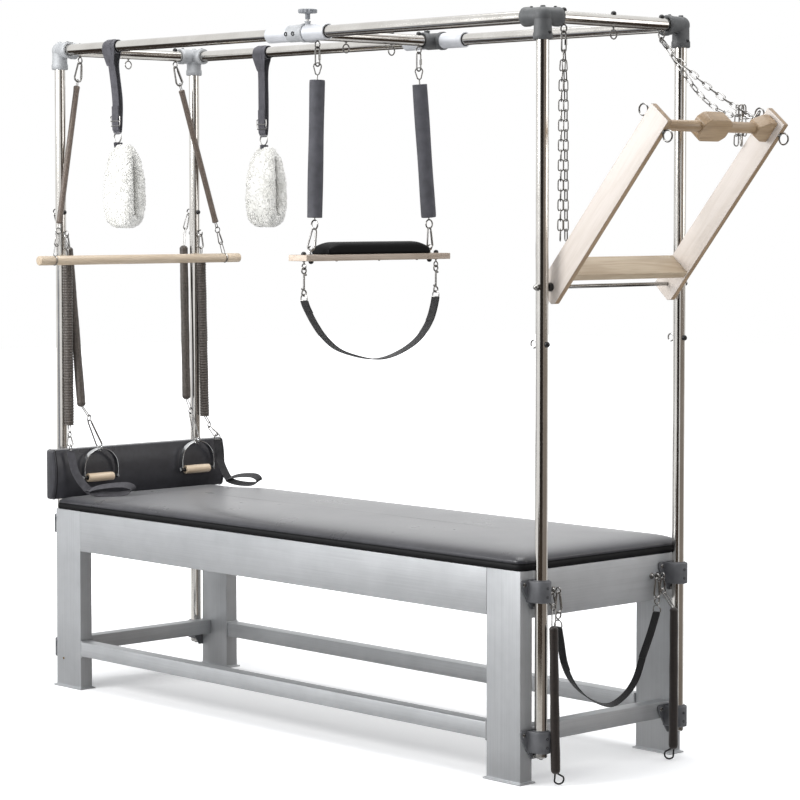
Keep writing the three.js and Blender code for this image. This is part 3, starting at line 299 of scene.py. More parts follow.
def rectangle(x0, y0, x1, y1):
    """The corners of a rectangle."""
    return [[x0, y0], [x1, y0], [x1, y1], [x0, y1]]


def block(low, high, edge, corner):
    """A box between two corners, with rounded edges."""
    x0, y0, z0 = low
    x1, y1, z1 = high
    return slab(rounded(rectangle(x0, y0, x1, y1), corner, 4), z0, z1, edge, np.zeros(3), X, Y)


def new_material(name, slot):
    """A material that takes a slot, its empty node tree, and the object's own coordinates in it."""
    made = bpy.data.materials.new(name)
    made["slot"] = slot
    tree = emptied(made)
    return made, tree, add(tree, "TexCoord", {}, "Object")


def noise(tree, place, scale, detail, rough=0.5):
    """The value of a noise texture at a place."""
    return add(tree, "TexNoise", {"Vector": place, "Scale": scale, "Detail": detail, "Roughness": rough})


def bump(tree, height, strength, distance, **normal):
    """The surface's normal, turned by the slope of a height."""
    return add(tree, "Bump", {"Height": height, "Strength": strength, "Distance": distance, **normal})


def surface(made, colour, rough, normal, more):
    """Gives a material its Principled surface, with further sockets from more, and returns the material."""
    tree = made.node_tree
    sockets = {"Base Color": colour, "Roughness": rough, "Normal": normal, **more}
    add(tree, "OutputMaterial", {"Surface": add(tree, "BsdfPrincipled", sockets)})
    return made


def brushed_aluminium(name, stretch):
    """Extruded box tube rubbed with abrasive along its length: bright, clouded, with faint long scratches.
    The scratches are 0.2 mm apart and are drawn at 2 to 6 mm, so that they show."""
    made, tree, place = new_material(name, "aluminium")
    lines = noise(tree, add(tree, "Mapping", {"Vector": place, "Scale": stretch}), 1.0, 5.0, 0.65)
    tone = ramp(tree, maths(tree, "ADD", lines, noise(tree, place, 7.0, 3.0, 0.6)), 0.7, 1.3)
    return surface(made, mix(tree, tone, "#B1B3B5", "#C2C4C6"), ramp(tree, lines, low=0.36, high=0.56),
                   bump(tree, lines, 0.12, 0.001), {"Metallic": 0.6})


brushed_along_x = brushed_aluminium("brushed_aluminium_lengthways", (3, 260, 260))
brushed_along_y = brushed_aluminium("brushed_aluminium_crossways", (260, 3, 260))
brushed_upright = brushed_aluminium("brushed_aluminium_upright", (260, 260, 3))
leg_x, leg_y = 1145, 355
leg_wide, wall_deep = 140, 50
plate_thick, plate_over, bead = 5, 8, 2.5
rail_low, rail_high = 118, 168
apron_low, apron_high = 488, 628
for end, end_name in both_ends:
    outer, inner = end * leg_x, end * (leg_x - leg_wide)
    legs = []
    for side in (-1, 1):
        x0, x1 = sorted((inner, outer))
        y0, y1 = sorted((side * leg_y, side * (leg_y - wall_deep)))
        legs += [block((x0, y0, plate_thick), (x1, y1, apron_high), 1.5, 2.5)]
        plate_low = (x0 - plate_over, y0 - plate_over, 0)
        legs += [block(plate_low, (x1 + plate_over, y1 + plate_over, plate_thick), 1, 2)]
        weld = rounded(rectangle(x0 - bead, y0 - bead, x1 + bead, y1 + bead), 4, 4)
        legs += [slab(weld, 4.5, 7.5, 1.4, np.zeros(3), X, Y)]
    x0, x1 = sorted((outer, end * (leg_x - wall_deep)))
    half = leg_y - wall_deep + 1
    bars = [block((x0 + 0.6, -half, apron_low), (x1 - 0.6, half, apron_high - 0.5), 1.5, 2.0)]
    bars += [block((x0 + 0.6, -half, rail_low), (x1 - 0.6, half, rail_high), 1.5, 3.0)]
    piece("end_legs_" + end_name, legs, brushed_upright, "root", "end_frame_" + end_name)
    piece("end_rails_" + end_name, bars, brushed_along_y, "root")
for side, side_name in both_sides:
    y0, y1 = sorted((side * leg_y, side * (leg_y - wall_deep)))
    reach = leg_x - leg_wide
    apron = [block((-reach + 0.4, y0 + 0.4, apron_low), (reach - 0.4, y1 - 0.4, apron_high - 0.5), 1.5, 2.0)]
    piece("apron_tube_" + side_name, apron, brushed_along_x, "root", "side_apron_" + side_name)
    rail = [block((-reach + 0.4, y0 + 0.4, rail_low), (reach - 0.4, y1 - 0.4, rail_high), 1.5, 3.0)]
    inward = 0 if side < 0 else -6
    for end in (-1, 1):
        x0, x1 = sorted((end * (reach - 6), end * (reach - 0.5)))
        rail += [block((x0, y0 + inward, rail_low - 5), (x1, y1 + inward + 6, rail_high + 5), 2.0, 3.0)]
    piece("stretcher_tube_" + side_name, rail, brushed_along_x, "root", "side_stretcher_" + side_name)

# Mattress and headboard
# Firm foam on plywood under soft black vinyl. The mat has a plain band stapled under it, a seam above the
# band and a low crown that is fuller away from the head end. The headboard is a thinner pad of the same make
# that stands on the mat against the posts.


def cushion(half_x, half_y, corner, profile, pull, waves):
    """A pad as rings of one rounded outline. profile is (inset, height) from the underside up; the sides pull
    in by pull sin(pi u) between the corners, and a sum of three slow waves lifts the crown where the inset
    grows."""
    inset, height = np.array(profile, float).T
    u = np.linspace(0, 1, 60, endpoint=False)
    quarter = np.linspace(0, pi / 2, 12, endpoint=False)
    reach_x, reach_y = half_x - corner, half_y - corner
    sides = []
    for start, (cx, cy, tx, ty) in enumerate(((1, 1, -1, 0), (-1, 1, 0, -1), (-1, -1, 1, 0), (1, -1, 0, 1))):
        angle = start * pi / 2 + quarter
        run = 2 * (reach_x * abs(tx) + reach_y * abs(ty))
        arc = np.stack([cx * reach_x + corner * np.cos(angle), cy * reach_y + corner * np.sin(angle)], 1)
        out = np.array([np.cos((start + 1) * pi / 2), np.sin((start + 1) * pi / 2)])
        side = np.array([cx * reach_x, cy * reach_y]) + out * (corner - pull * np.sin(pi * u)[:, None])
        sides += [arc, side + np.array([tx, ty]) * (run * u)[:, None]]
    outline = np.concatenate(sides)
    x, y = (outline[:, i] * (1 - inset / half)[:, None] for i, half in enumerate((half_x, half_y)))
    swell = np.clip(inset / inset.max(), 0, 1)[:, None]
    lift = waves * swell * (np.sin(x / 310 + 1) + np.sin(y / 90 + x / 520) + np.sin(x / 140 - y / 170 + 2)) / 3
    return np.stack([x, y, height[:, None] + lift], 2)


def padded_profile(band, top, half_width):
    """(inset, height) pairs: a tucked underside, an upright band, a seam groove, then a crown that rises over
    the band by (1 - (1 - u)^5)^(1/2.6), where u is the inset as a share of the half width."""
    u = np.linspace(0, 1, 32)[2:] ** 2.2
    crown = np.stack([1.4 + (half_width - 2.4) * u, band + (top - band) * (1 - (1 - u) ** 5) ** (1 / 2.6)], 1)
    seam = [(2.6, band - 1.6), (3.4, band), (2.2, band + 1.4)]
    under = [(half_width - 1, 0), (9, 0), (3, 0.6), (1.2, 2.5), (0.8, band * 0.5), (1.2, band - 3)]
    return under + seam + crown.tolist()


def black_vinyl(name, dark, light, gloss, sheen=0.4, index=1.5):
    """Soft upholstery vinyl, calendered with a leather grain: near black, cool and softly shiny. Less sheen
    and a lower refractive index make it flatter. The 1 mm pebbles of the grain are drawn at 2.5 mm."""
    made, tree, place = new_material(name, "vinyl")
    pebbles = add(tree, "TexVoronoi", {"Vector": place, "Scale": 420.0, "Randomness": 0.95}, "Distance")
    cloud = noise(tree, place, 5.0, 4.0, 0.55)
    tone = ramp(tree, maths(tree, "ADD", cloud, noise(tree, place, 38.0, 3.0)), 0.75, 1.25)
    grain = bump(tree, pebbles, 0.2, 0.0006)
    ripple = bump(tree, noise(tree, place, 11.0, 1.0), 0.06, 0.004, Normal=grain)
    return surface(made, mix(tree, tone, dark, light), ramp(tree, cloud, low=gloss - 0.05, high=gloss + 0.09),
                   ripple, {"IOR": index, "Sheen Weight": sheen, "Sheen Roughness": 0.4})


vinyl = black_vinyl("black_upholstery_vinyl", "#2B2B2F", "#35353A", 0.27)
vinyl_band = black_vinyl("black_vinyl_band", "#0B0B0D", "#111113", 0.6, 0.0, 1.3)
mat_low, band_high, mat_thick = 628.4, 20, 47.5
mat_grid = cushion(1148, 358, 26, padded_profile(band_high, mat_thick, 358), 1.5, 1.2) + [0, 0, mat_low]
raised = np.clip((mat_grid[..., 2] - mat_low - band_high) / (mat_thick - band_high), 0, 1)
along = np.clip((mat_grid[..., 0] + 1000) / 260, 0, 1)
crown_raise = 12.5
mat_grid[..., 2] += crown_raise * raised * along ** 2 * (3 - 2 * along)
mat = piece("mat", [skin(mat_grid[6:])], vinyl, "root", "mattress", sharp=50)
piece("mat_band", [skin(mat_grid[:9])], vinyl_band, "root", sharp=50)
rim = mat_grid[7] + [0, 0, 0.3]


def carry(profile, path, side, loop=False):
    """A closed profile carried along a path. Its first axis lies along side, squared to the path, and its
    second axis is the path's direction crossed with that; loop joins the path's end to its start."""
    path = np.asarray(path, float)
    run = np.roll(path, -1, 0) - np.roll(path, 1, 0) if loop else np.gradient(path, axis=0)
    run = unit(run)
    side = np.broadcast_to(np.asarray(side, float), path.shape)
    side = unit(side - (side * run).sum(1)[:, None] * run)
    lift = np.cross(run, side)
    profile = np.broadcast_to(profile, (len(path), *np.shape(profile)[-2:]))
    return path[:, None] + profile[..., :1] * side[:, None] + profile[..., 1:] * lift[:, None]


def full_turn(count):
    """Even angles round a full turn."""
    return np.linspace(0, 2 * pi, count, endpoint=False)


def circle(radius, count):
    """The points of a circle, as a profile."""
    turn = full_turn(count)
    return radius * np.stack([np.cos(turn), np.sin(turn)], 1)


def wire(path, radius, side, count=8):
    """Round wire along a closed path. side is a direction that the path never runs in."""
    return skin(carry(circle(radius, count), path, side, loop=True), loop=True)


piece("mat_seam_welt", [wire(rim, 1.9, Z)], vinyl_band, "root", sharp=80)

head_back, head_middle, head_long = -1158.8, 749.6, 388
rise = np.linspace(-75, 75, 23)
turn = np.linspace(0, pi / 2, 6)[:-1]
corner_low = np.stack([32 + 8 * np.sin(turn), -75 - 8 * np.cos(turn)], 1)
bulge = np.stack([40 + 11.5 * (1 - np.abs(rise / 75) ** 2.2), rise], 1)
head_side = np.concatenate([[[3, 83], [0, 80], [0, -80], [3, -83]], corner_low, bulge,
                            (corner_low * [1, -1])[::-1]])
turn = np.linspace(0, pi / 2, 7)
head_round = 9
head_inset = head_round * (1 - np.sin(turn))
head_end = head_long - head_round * (1 - np.cos(turn))
head_inset = np.concatenate([head_inset, np.zeros(40), head_inset[::-1]])[:, None]
head_y = np.concatenate([-head_end, np.linspace(-head_long + 12, head_long - 12, 40), head_end[::-1]])[:, None]
soft_wave = 0.8 * np.sin(head_y / 70) * np.clip((head_side[:, 0] - 30) / 12, 0, 1)
head_x = head_back + 25 + (head_side[:, 0] - 25) * (1 - head_inset / 25) + soft_wave
head_z = head_middle + 1.048 * head_side[:, 1] * (1 - head_inset / 83)
head_grid = np.stack([head_x, np.broadcast_to(head_y, head_x.shape), head_z], 2)
headboard = piece("headboard_pad", [skin(head_grid)], vinyl, "root", "headboard", sharp=50)
head_welts = [wire(head_grid[row], 1.7, Y) for row in (7, -8)]
piece("headboard_seam_welt", head_welts, vinyl_band, "root", sharp=80)

# Posts, top tubes and cross bar
# Stainless tube, 38 mm across, polished bright. Each post ends in a bright plug with a black bolt under it,
# and eye bolts go through the tubes with a black cap nut on the far side.


def turned(profile, foot, axis, count):
    """A profile of (radius, height) turned about an axis from a foot point, in the axis's own direction."""
    radius, height = np.array(profile, float).T
    axis = unit(axis)
    side = unit(np.cross(axis, X if abs(axis[0]) < 0.8 else Y))
    turn = full_turn(count)[:, None]
    ring = np.cos(turn) * side + np.sin(turn) * np.cross(axis, side)
    grid = np.asarray(foot, float) + height[:, None, None] * axis + radius[:, None, None] * ring
    return skin(grid)


def bar(start, finish, radius, count, chamfer=0.8):
    """A round bar between two points with small chamfers at its ends."""
    start, finish = np.asarray(start, float), np.asarray(finish, float)
    long = np.linalg.norm(finish - start)
    profile = [(radius - chamfer, 0), (radius, chamfer), (radius, long - chamfer), (radius - chamfer, long)]
    return turned(profile, start, finish - start, count)


def ring(centre, radius, thick, normal, count=28):
    """A round wire ring: a small circle carried round a large one about its normal."""
    normal = unit(normal)
    side = unit(np.cross(normal, X if abs(normal[0]) < 0.8 else Y))
    turn = full_turn(count)[:, None]
    path = np.asarray(centre, float) + radius * (np.cos(turn) * side + np.sin(turn) * np.cross(normal, side))
    return wire(path, thick, normal)


def polished_steel(name, base, rough, slot="steel"):
    """Stainless tube polished bright on a mop: a dark and light mirror of the room with faint smears and the
    long marks of the mop, drawn at 1 to 3 mm."""
    made, tree, place = new_material(name, slot)
    smear, fine = noise(tree, place, 9.0, 4.0, 0.6), noise(tree, place, 140.0, 2.0)
    hazy = ramp(tree, maths(tree, "ADD", smear, fine), 0.6, 1.4, rough, rough + 0.08)
    return surface(made, mix(tree, ramp(tree, smear, 0.3, 0.7), *base), hazy, bump(tree, fine, 0.04, 0.0004),
                   {"Metallic": 1.0})


def moulded_plastic(name, colour, rough, grit, depth, slot="black_plastic"):
    """Injection-moulded or dipped plastic and rubber: even colour, soft shine, and the fine spark texture of
    the mould, drawn at about 1.5 mm."""
    made, tree, place = new_material(name, slot)
    spark, cloud = noise(tree, place, grit, 3.0, 0.7), noise(tree, place, 30.0, 2.0)
    return surface(made, mix(tree, ramp(tree, cloud, 0.3, 0.7), *colour),
                   ramp(tree, spark, low=rough - 0.08, high=rough + 0.1), bump(tree, spark, 0.5, depth),
                   {"IOR": 1.49})


tube_polish = polished_steel("polished_stainless_tube", ("#CFCCC7", "#DEDCD8"), 0.11, "polished_tube")
bright_zinc = polished_steel("bright_zinc_plate", ("#8E8D8B", "#B4B3B1"), 0.2)
black_cap = moulded_plastic("black_moulded_cap", ("#121213", "#1C1C1E"), 0.42, 600.0, 0.0004)
tube_radius, post_x, post_y, tube_height = 19, 1178, 302, 2240
eye_reach = 35
eye_height = tube_height - eye_reach
in_eye = np.array([0, 0, 4.2])


def dome(radius, height, base, count):
    """A quarter ellipse over a base as (radius, height) pairs, with a tip 0.15 mm in radius."""
    return [(radius * np.cos(a) + 0.15, base + height * np.sin(a)) for a in np.linspace(0, pi / 2, count)]


def eye_bolt(axis_point, direction, normal=Y, size=11.4, reach=32.6):
    """An eye bolt through a tube: ring, waisted shank with its collar, and a domed nut on the far side."""
    axis_point, direction, through = np.asarray(axis_point, float), unit(direction), tube_radius
    centre = axis_point + direction * reach
    shank = [(5.6, through - 2), (5.6, through + 1.2), (3.1, through + 1.8), (2.6, reach - size + 0.6)]
    steel = [ring(centre, size, 2.3, normal), turned(shank, axis_point, direction, 20)]
    cap = [(7.6, through - 2.5), (8.4, through - 1), (8.4, through + 2)] + dome(8.3, 8.0, through + 2, 8)
    return steel, [turned(cap, axis_point, -direction, 20)]


def eye_pieces(steel_name, cap_name, eyes, body):
    """The two pieces of a row of eye bolts: all their steel, and all their caps."""
    piece(steel_name, sum((steel for steel, caps in eyes), []), bright_zinc, body)
    piece(cap_name, sum((caps for steel, caps in eyes), []), black_cap, body)


plug_rubber = moulded_plastic("black_rubber_plug", ("#1B1B1B", "#262626"), 0.6, 400.0, 0.0005)
head_eye_high, head_eye_low, foot_eye = 1671, 1594, 1291
large_eye = (13.6, 40)
post_low, post_high = 84, 2210
end_eye_y, slide_eye_y = 214, 223
plug = [(13, 79), (16, 80), (18.4, 83), (19.4, 84), (19.4, 94), (19, 94)]
bolt = [(5.5, 75), (6.8, 75.8), (6.8, 79.4), (5.0, 80.2)]
for end, end_name in both_ends:
    for side, side_name in both_sides:
        name = side_name + "_" + end_name
        foot = np.array([end * post_x, side * post_y, 0.0])
        tube = bar(foot + post_low * Z, foot + post_high * Z, tube_radius, 64)
        piece("post_tube_" + name, [tube], tube_polish, "root", "post_" + name)
        piece("post_plug_" + name, [turned(plug, foot, Z, 32)], bright_zinc, "root")
        piece("post_bolt_" + name, [turned(bolt, foot, Z, 6)], plug_rubber, "root", sharp=20)
        if end < 0:
            eyes = (eye_bolt(foot + head_eye_high * Z, -X), eye_bolt(foot + head_eye_low * Z, X))
        else:
            eyes = (eye_bolt(foot + foot_eye * Z, -X),)
        eye_pieces("post_eyes_" + name, "post_eye_caps_" + name, eyes, "root")
in_socket = 32
for side, side_name in both_sides:
    reach = post_x - in_socket
    y = side * post_y
    long_tube = bar([-reach, y, tube_height], [reach, y, tube_height], tube_radius, 64)
    piece("long_tube_" + side_name, [long_tube], tube_polish, "root", "top_tube_" + side_name)
for end, end_name in both_ends:
    reach, x = post_y - in_socket, end * post_x
    cross = bar([x, -reach, tube_height], [x, reach, tube_height], tube_radius, 64)
    piece("short_tube_" + end_name, [cross], tube_polish, "root", "cross_tube_" + end_name)
    eyes = [eye_bolt([x, y, tube_height], -Z) for y in (-end_eye_y, end_eye_y)]
    eyes += [eye_bolt([x, 0, tube_height], -Z, X, *large_eye)]
    eye_pieces("short_tube_eyes_" + end_name, "short_tube_caps_" + end_name, eyes, "root")
slide_x = 105
slide_tube = bar([slide_x, -275, tube_height], [slide_x, 275, tube_height], tube_radius, 64)
piece("slide_tube", [slide_tube], tube_polish, "cross_carriage", "cross_bar")
eyes = [eye_bolt([slide_x, y, tube_height], -Z) for y in (-slide_eye_y, slide_eye_y)]
eyes += [eye_bolt([slide_x, y, tube_height], -Z, X, *large_eye) for y in (-100, 100)]
eye_pieces("slide_tube_eyes", "slide_tube_caps", eyes, "cross_carriage")

# Wall brackets
# Cast alloy clamps, two to a post: a three-cornered plate screwed to the end of the base with its point down,
# and a rounded lug that grips the post and is locked with two socket screws.


def cast_alloy(name, dark, light, rough):
    """Sand-cast aluminium alloy, tumbled: mid grey, matt and finely pitted. The 0.8 mm sand grains are drawn
    at 2 mm."""
    made, tree, place = new_material(name, "casting")
    sand, cloud = noise(tree, place, 480.0, 3.0, 0.7), noise(tree, place, 26.0, 3.0)
    return surface(made, mix(tree, ramp(tree, cloud, 0.3, 0.7), dark, light),
                   ramp(tree, sand, low=rough - 0.08, high=rough + 0.12), bump(tree, sand, 0.45, 0.0005),
                   {"Metallic": 0.35})


bracket_alloy = cast_alloy("tumbled_alloy_bracket", "#5C5D60", "#6A6B6E", 0.5)
fitting_alloy = cast_alloy("tumbled_alloy_fitting", "#A3A5A7", "#B6B8BA", 0.6)
# A darker copy of the fitting alloy for the foot-end castings and the back tee: painted shade for the light
# that falls off towards the foot end and the back.
shaded_alloy_copy = cast_alloy("alloy_fitting_painted_shade", "#555758", "#636465", 0.6)
bracket_levels = ((95, "lower"), (537, "upper"))


def screw_head(centre, direction, radius, height):
    """A pan-head screw with a sunk socket: a low dome that steps down in its middle."""
    profile = [(radius, 0), (radius, height * 0.4), (radius * 0.8, height * 0.85), (radius * 0.45, height)]
    profile += [(radius * 0.42, height * 0.45), (0.2, height * 0.4)]
    return turned(profile, centre, direction, 20)


def wall_bracket(end, side, low):
    """The plate with its point down, the lug round the post, and the screws of one bracket."""
    wall, y = end * leg_x, side * post_y
    top, tip = low + 60, low - 22
    corners = np.array([[-56, top], [-50, top + 6], [50, top + 6], [56, top], [54, top - 15], [12, tip],
                        [-12, tip], [-54, top - 15]]) + [y, 0]
    if end > 0:
        plate = slab(rounded(corners[::-1], 3), 0.4, 6.0, 1.6, [wall, 0, 0], Y, Z)
    else:
        plate = slab(rounded(corners * [-1, 1], 3), 0.4, 6.0, 1.6, [wall, 0, 0], -Y, Z)
    turn = np.linspace(-pi / 2, pi / 2, 25)
    nose = np.stack([post_x + 3 + 28 * np.cos(turn), 27 * np.sin(turn)], 1)
    outline = np.concatenate([[[leg_x + 1, -30], [leg_x + 9, -27]], nose, [[leg_x + 9, 27], [leg_x + 1, 30]]])
    if end < 0:
        outline = (outline * [-1, 1])[::-1]
    lug = slab(outline + [0, y], low, low + 64, 3.2, np.zeros(3), X, Y)
    lip = [(tube_radius, 63), (23.5, 63), (23.5, 65.5), (22.5, 66.2), (tube_radius, 66.2)]
    collar = turned(lip, [end * post_x, y, low], Z, 40)
    heads = [screw_head([wall + end * 5.6, y + s, top - 8], end * X, 6.5, 3.4) for s in (-42, 42)]
    heads += [screw_head([wall + end * 5.6, y, tip + 9], end * X, 6.0, 3.2)]
    lock = np.array([end * (post_x + 30.2), y - 4.0, low + 18.0])
    sunk = [(4.2, -2), (4.2, 1.0), (2.6, 1.3), (2.4, -0.8), (0.2, -0.9)]
    locks = [turned(sunk, lock + [0, 0, h], end * X, 16) for h in (0, 26)]
    return [plate, lug, collar], heads, locks


for end, end_name in both_ends:
    for side, side_name in both_sides:
        name = side_name + "_" + end_name
        for low, level in bracket_levels:
            body, heads, locks = wall_bracket(end, side, low)
            nodes = ("upper_bracket_" + name,) if level == "upper" else ()
            piece(f"bracket_{level}_{name}", body, bracket_alloy, "root", *nodes, sharp=40)
            piece(f"bracket_screws_{level}_{name}", heads, bright_zinc, "root")
            piece(f"bracket_locks_{level}_{name}", locks, black_cap, "root")

# Corner fittings
# One casting at each top corner with three sockets: for the post, the long tube and the short tube. Each
# socket has a thicker mouth and is locked with black grub screws; the outer corner is rounded like the
# sockets.


def socket(start, finish, radius, lip=2.2):
    """A cast pipe socket from a point to its mouth: a slight taper, a thicker rolled mouth, and a dark gap
    round the tube that goes in."""
    start, finish = np.asarray(start, float), np.asarray(finish, float)
    long = np.linalg.norm(finish - start)
    gap = tube_radius + 1.4
    profile = [(radius - 0.6, 0), (radius, long - 22), (radius + lip, long - 17), (radius + lip, long - 2.5),
               (radius + lip - 2, long), (gap, long), (gap, long - 9), (tube_radius, long - 9)]
    return turned(profile, start, finish - start, 48)


def ball(centre, radius):
    """A sphere as a half circle turned about Z."""
    turn = np.linspace(-pi / 2 + 0.02, pi / 2 - 0.02, 24)
    return turned(np.stack([radius * np.cos(turn), radius * np.sin(turn)], 1), centre, Z, 48)


def grub_screw(centre, direction, radius=4.6, height=3.0):
    """A black socket grub screw that stands a little out of its casting."""
    profile = [(radius, -2), (radius, height - 0.8), (radius - 0.8, height), (radius * 0.5, height)]
    profile += [(radius * 0.46, height - 2), (0.2, height - 2)]
    return turned(profile, centre, direction, 16)


for end, end_name in both_ends:
    for side, side_name in both_sides:
        corner = np.array([end * post_x, side * post_y, tube_height], float)
        sockets = ([end * (72 if end > 0 else 58), 0, 0], [0, side * 68, 0], [0, 0, 68])
        body = [ball(corner, 27.4)] + [socket(corner, corner - reach, 26.5) for reach in sockets]
        body += [turned([(8, 20), (7.5, 29), (6.5, 30.5), (0.3, 30.5)], corner, Z, 24)]
        name = side_name + "_" + end_name
        # Foot-end castings take the darker copy of the alloy: painted shade.
        alloy = shaded_alloy_copy if end > 0 else fitting_alloy
        piece("corner_casting_" + name, body, alloy, "root", "corner_fitting_" + name, sharp=50)
        grubs = [grub_screw(corner + [-end * 46, 0, 27], Z), grub_screw(corner + [0, -side * 52, 28], Z),
                 grub_screw(corner + [end * 28, 0, -48], end * X)]
        piece("corner_grub_screws_" + name, grubs, black_cap, "root")

# Sliding carriages
# Each long tube carries an alloy sleeve, 280 mm long, with a cast tee on it that takes the slide tube. A
# scalloped knob screws down through a boss to lock the sleeve.
sleeve_alloy = cast_alloy("silver_painted_sleeve", "#C3C5C9", "#D0D2D6", 0.45)
knob_plastic = moulded_plastic("grey_moulded_knob", ("#7A7D81", "#8A8D91"), 0.42, 500.0, 0.0004)
for side, side_name in both_sides:
    hub = np.array([slide_x, side * post_y, tube_height], float)
    bore, long = tube_radius + 0.8, 280
    sleeve = [(bore, 0), (25.2, 0), (26, 1.2), (26, long - 1.2), (25.2, long), (bore, long)]
    body = turned(sleeve, hub - [long / 2, 0, 0], X, 64)
    piece("carriage_sleeve_" + side_name, [body], sleeve_alloy, "cross_carriage", "carriage_" + side_name)
    tee = [(26, 0), (27.4, 1.2), (27.4, 62), (30.2, 64), (30.2, 76), (28.6, 77.5), (26, 77.5)]
    cast = [turned(tee, hub - [38, 0, 0], X, 64), socket(hub, hub - [0, side * 64, 0], 25.5, 1.8)]
    centre = hub + [-side * 43, 0, 0]
    cast += [turned([(9, 20), (9, 33), (10.5, 35), (10.5, 36.5), (4.5, 36.5)], centre, Z, 32)]
    # The back tee takes the darker copy of the alloy: painted shade.
    alloy = shaded_alloy_copy if side > 0 else fitting_alloy
    piece("carriage_tee_" + side_name, cast, alloy, "cross_carriage", sharp=40)
    lining = [(tube_radius + 0.2, 0), (21.6, 0), (21.6, 0.9), (tube_radius + 0.2, 0.9)]
    liner = [turned(lining, hub + way * (long / 2 - 0.4), way, 48) for way in (X, -X)]
    piece("carriage_liner_" + side_name, liner, plug_rubber, "cross_carriage")
    grubs = [grub_screw(hub + [x, side * 26.0, -2], [0, side, -0.1], 7.4, 3.0) for x in (-32, 2)]
    grubs += [grub_screw(hub + [0, -side * 50, 27.0], Z, 3.8, 2.0)]
    piece("carriage_grub_screws_" + side_name, grubs, black_cap, "cross_carriage")
    lobes = 14
    turn = full_turn(lobes * 10)
    reach = 28.6 + 1.7 * np.cos(lobes * turn)
    rim = np.stack([np.cos(turn), np.sin(turn)], 1) * reach[:, None]
    disc = slab(rim, 61.5, 74, 2.4, centre, X, Y, rim=6)
    crown = turned([(24, 73), (22, 73.9), (10, 74), (0.3, 74)], centre, Z, 40)
    neck = turned([(7.2, 42), (8, 43), (8, 58), (13, 61.8), (22, 62.4)], centre, Z, 32)
    stem = turned([(4, 26), (4, 36.5), (4.6, 36.8), (4.6, 38.6), (3.6, 39.2), (3.6, 43)], centre, Z, 20)
    knob = "knob_" + side_name
    piece("knob_grip_" + side_name, [disc, crown, neck], knob_plastic, knob, knob, sharp=50)
    piece("knob_stem_" + side_name, [stem], bright_zinc, knob)

# Trapeze swing
# Two hangers in foam sleeves carry a maple board with a small vinyl pad. Each hangs on a quick link and ends
# in a snap hook, and a webbing strap hangs under the board on two double snap hooks.


def maple(name, grain, light="#AE9F90", dark="#98897A"):
    """Hard maple, planed, sanded and clear lacquered: pale straw with thin darker growth lines and short
    flecks. Growth rings are 2 to 4 mm wide across the grain, and grain turns the pattern so that X runs along
    it."""
    made, tree, place = new_material(name, "maple")
    along = add(tree, "Mapping", {"Vector": place, "Rotation": grain})
    wander = noise(tree, add(tree, "Mapping", {"Vector": along, "Scale": (1.6, 14.0, 14.0)}), 1.0, 3.0)
    lines = maths(tree, "SINE", maths(tree, "MULTIPLY", wander, 42.0))
    fleck = noise(tree, add(tree, "Mapping", {"Vector": along, "Scale": (9.0, 420.0, 420.0)}), 1.0, 2.0)
    tone = ramp(tree, maths(tree, "MULTIPLY_ADD", lines, 0.16, fleck), 0.25, 0.8)
    return surface(made, mix(tree, tone, dark, light), ramp(tree, fleck, low=0.34, high=0.5),
                   bump(tree, fleck, 0.12, 0.0004), {"IOR": 1.5, "Coat Weight": 0.25, "Coat Roughness": 0.25})


def uv_wave(tree, axis, length):
    """A sine along one axis of a strap's or sleeve's own UV, which is in metres."""
    parts = add(tree, "SeparateXYZ", {"Vector": add(tree, "UVMap", {}, uv_map="cloth_metres")}, axis)
    return maths(tree, "SINE", maths(tree, "MULTIPLY", parts, 2 * pi / length))


def webbing(name, dark, light):
    """Woven polyester webbing: ribs of warp along the strap every 2 mm with the weft's steps across them every
    3 mm, and a tone that is lighter where the weave is raised and in random patches."""
    made, tree, place = new_material(name, "strap")
    cross = maths(tree, "MULTIPLY", uv_wave(tree, 0, 0.002), uv_wave(tree, 1, 0.003))
    raised = maths(tree, "MULTIPLY_ADD", cross, 0.25, noise(tree, place, 55.0, 4.0))
    return surface(made, mix(tree, ramp(tree, raised, 0.25, 0.8), dark, light), 0.72,
                   bump(tree, cross, 0.5, 0.0004), {"Sheen Weight": 0.25, "Sheen Roughness": 0.4})


def wire_loop(top, bottom, top_radius, bottom_radius, lateral, thick, steps=9):
    """A closed loop of round wire: an arc at its top, an arc at its bottom, and straight sides between."""
    top, bottom = np.asarray(top, float), np.asarray(bottom, float)
    down = unit(bottom - top)
    side = unit(np.asarray(lateral, float) - np.dot(lateral, down) * down)
    turn = np.linspace(0, pi, steps)[:, None]
    upper = top + down * top_radius + top_radius * (np.cos(turn) * side - np.sin(turn) * down)
    lower = bottom - down * bottom_radius + bottom_radius * (-np.cos(turn) * side + np.sin(turn) * down)
    return wire(np.concatenate([upper, lower]), thick, np.cross(down, lateral), 10)


def quick_link(top):
    """A screw link that hangs from a point: an oval of wire, and a six-sided sleeve nut on its +Y side."""
    length, half_width = 62, 9
    top = np.asarray(top, float)
    nut = [(3.2, -9), (4.6, -8), (4.6, 8), (3.2, 9)]
    return [wire_loop(top, top - [0, 0, length], half_width, half_width, Y, 2.6),
            turned(nut, top + [0, half_width, -0.52 * length], Z, 6)]


def snap_hook(top, bottom, lateral, size):
    """A wire carabiner: narrow at its top, wide below, with the straight gate and its rivet on one side."""
    top, bottom, lateral = np.asarray(top, float), np.asarray(bottom, float), unit(lateral)
    down = unit(bottom - top)
    body = wire_loop(top, bottom, 5.2 * size, 9.5 * size, lateral, 2.3 * size)
    hinge = bottom - down * 9.5 * size + lateral * 9.3 * size
    catch = top + down * 8 * size + lateral * 5.4 * size
    gate = bar(hinge, catch, 3.0 * size, 14)
    out = np.cross(down, lateral) * 3.4 * size
    pin = bar(hinge - out, hinge + out, 1.8 * size, 12)
    return [body, gate, pin]


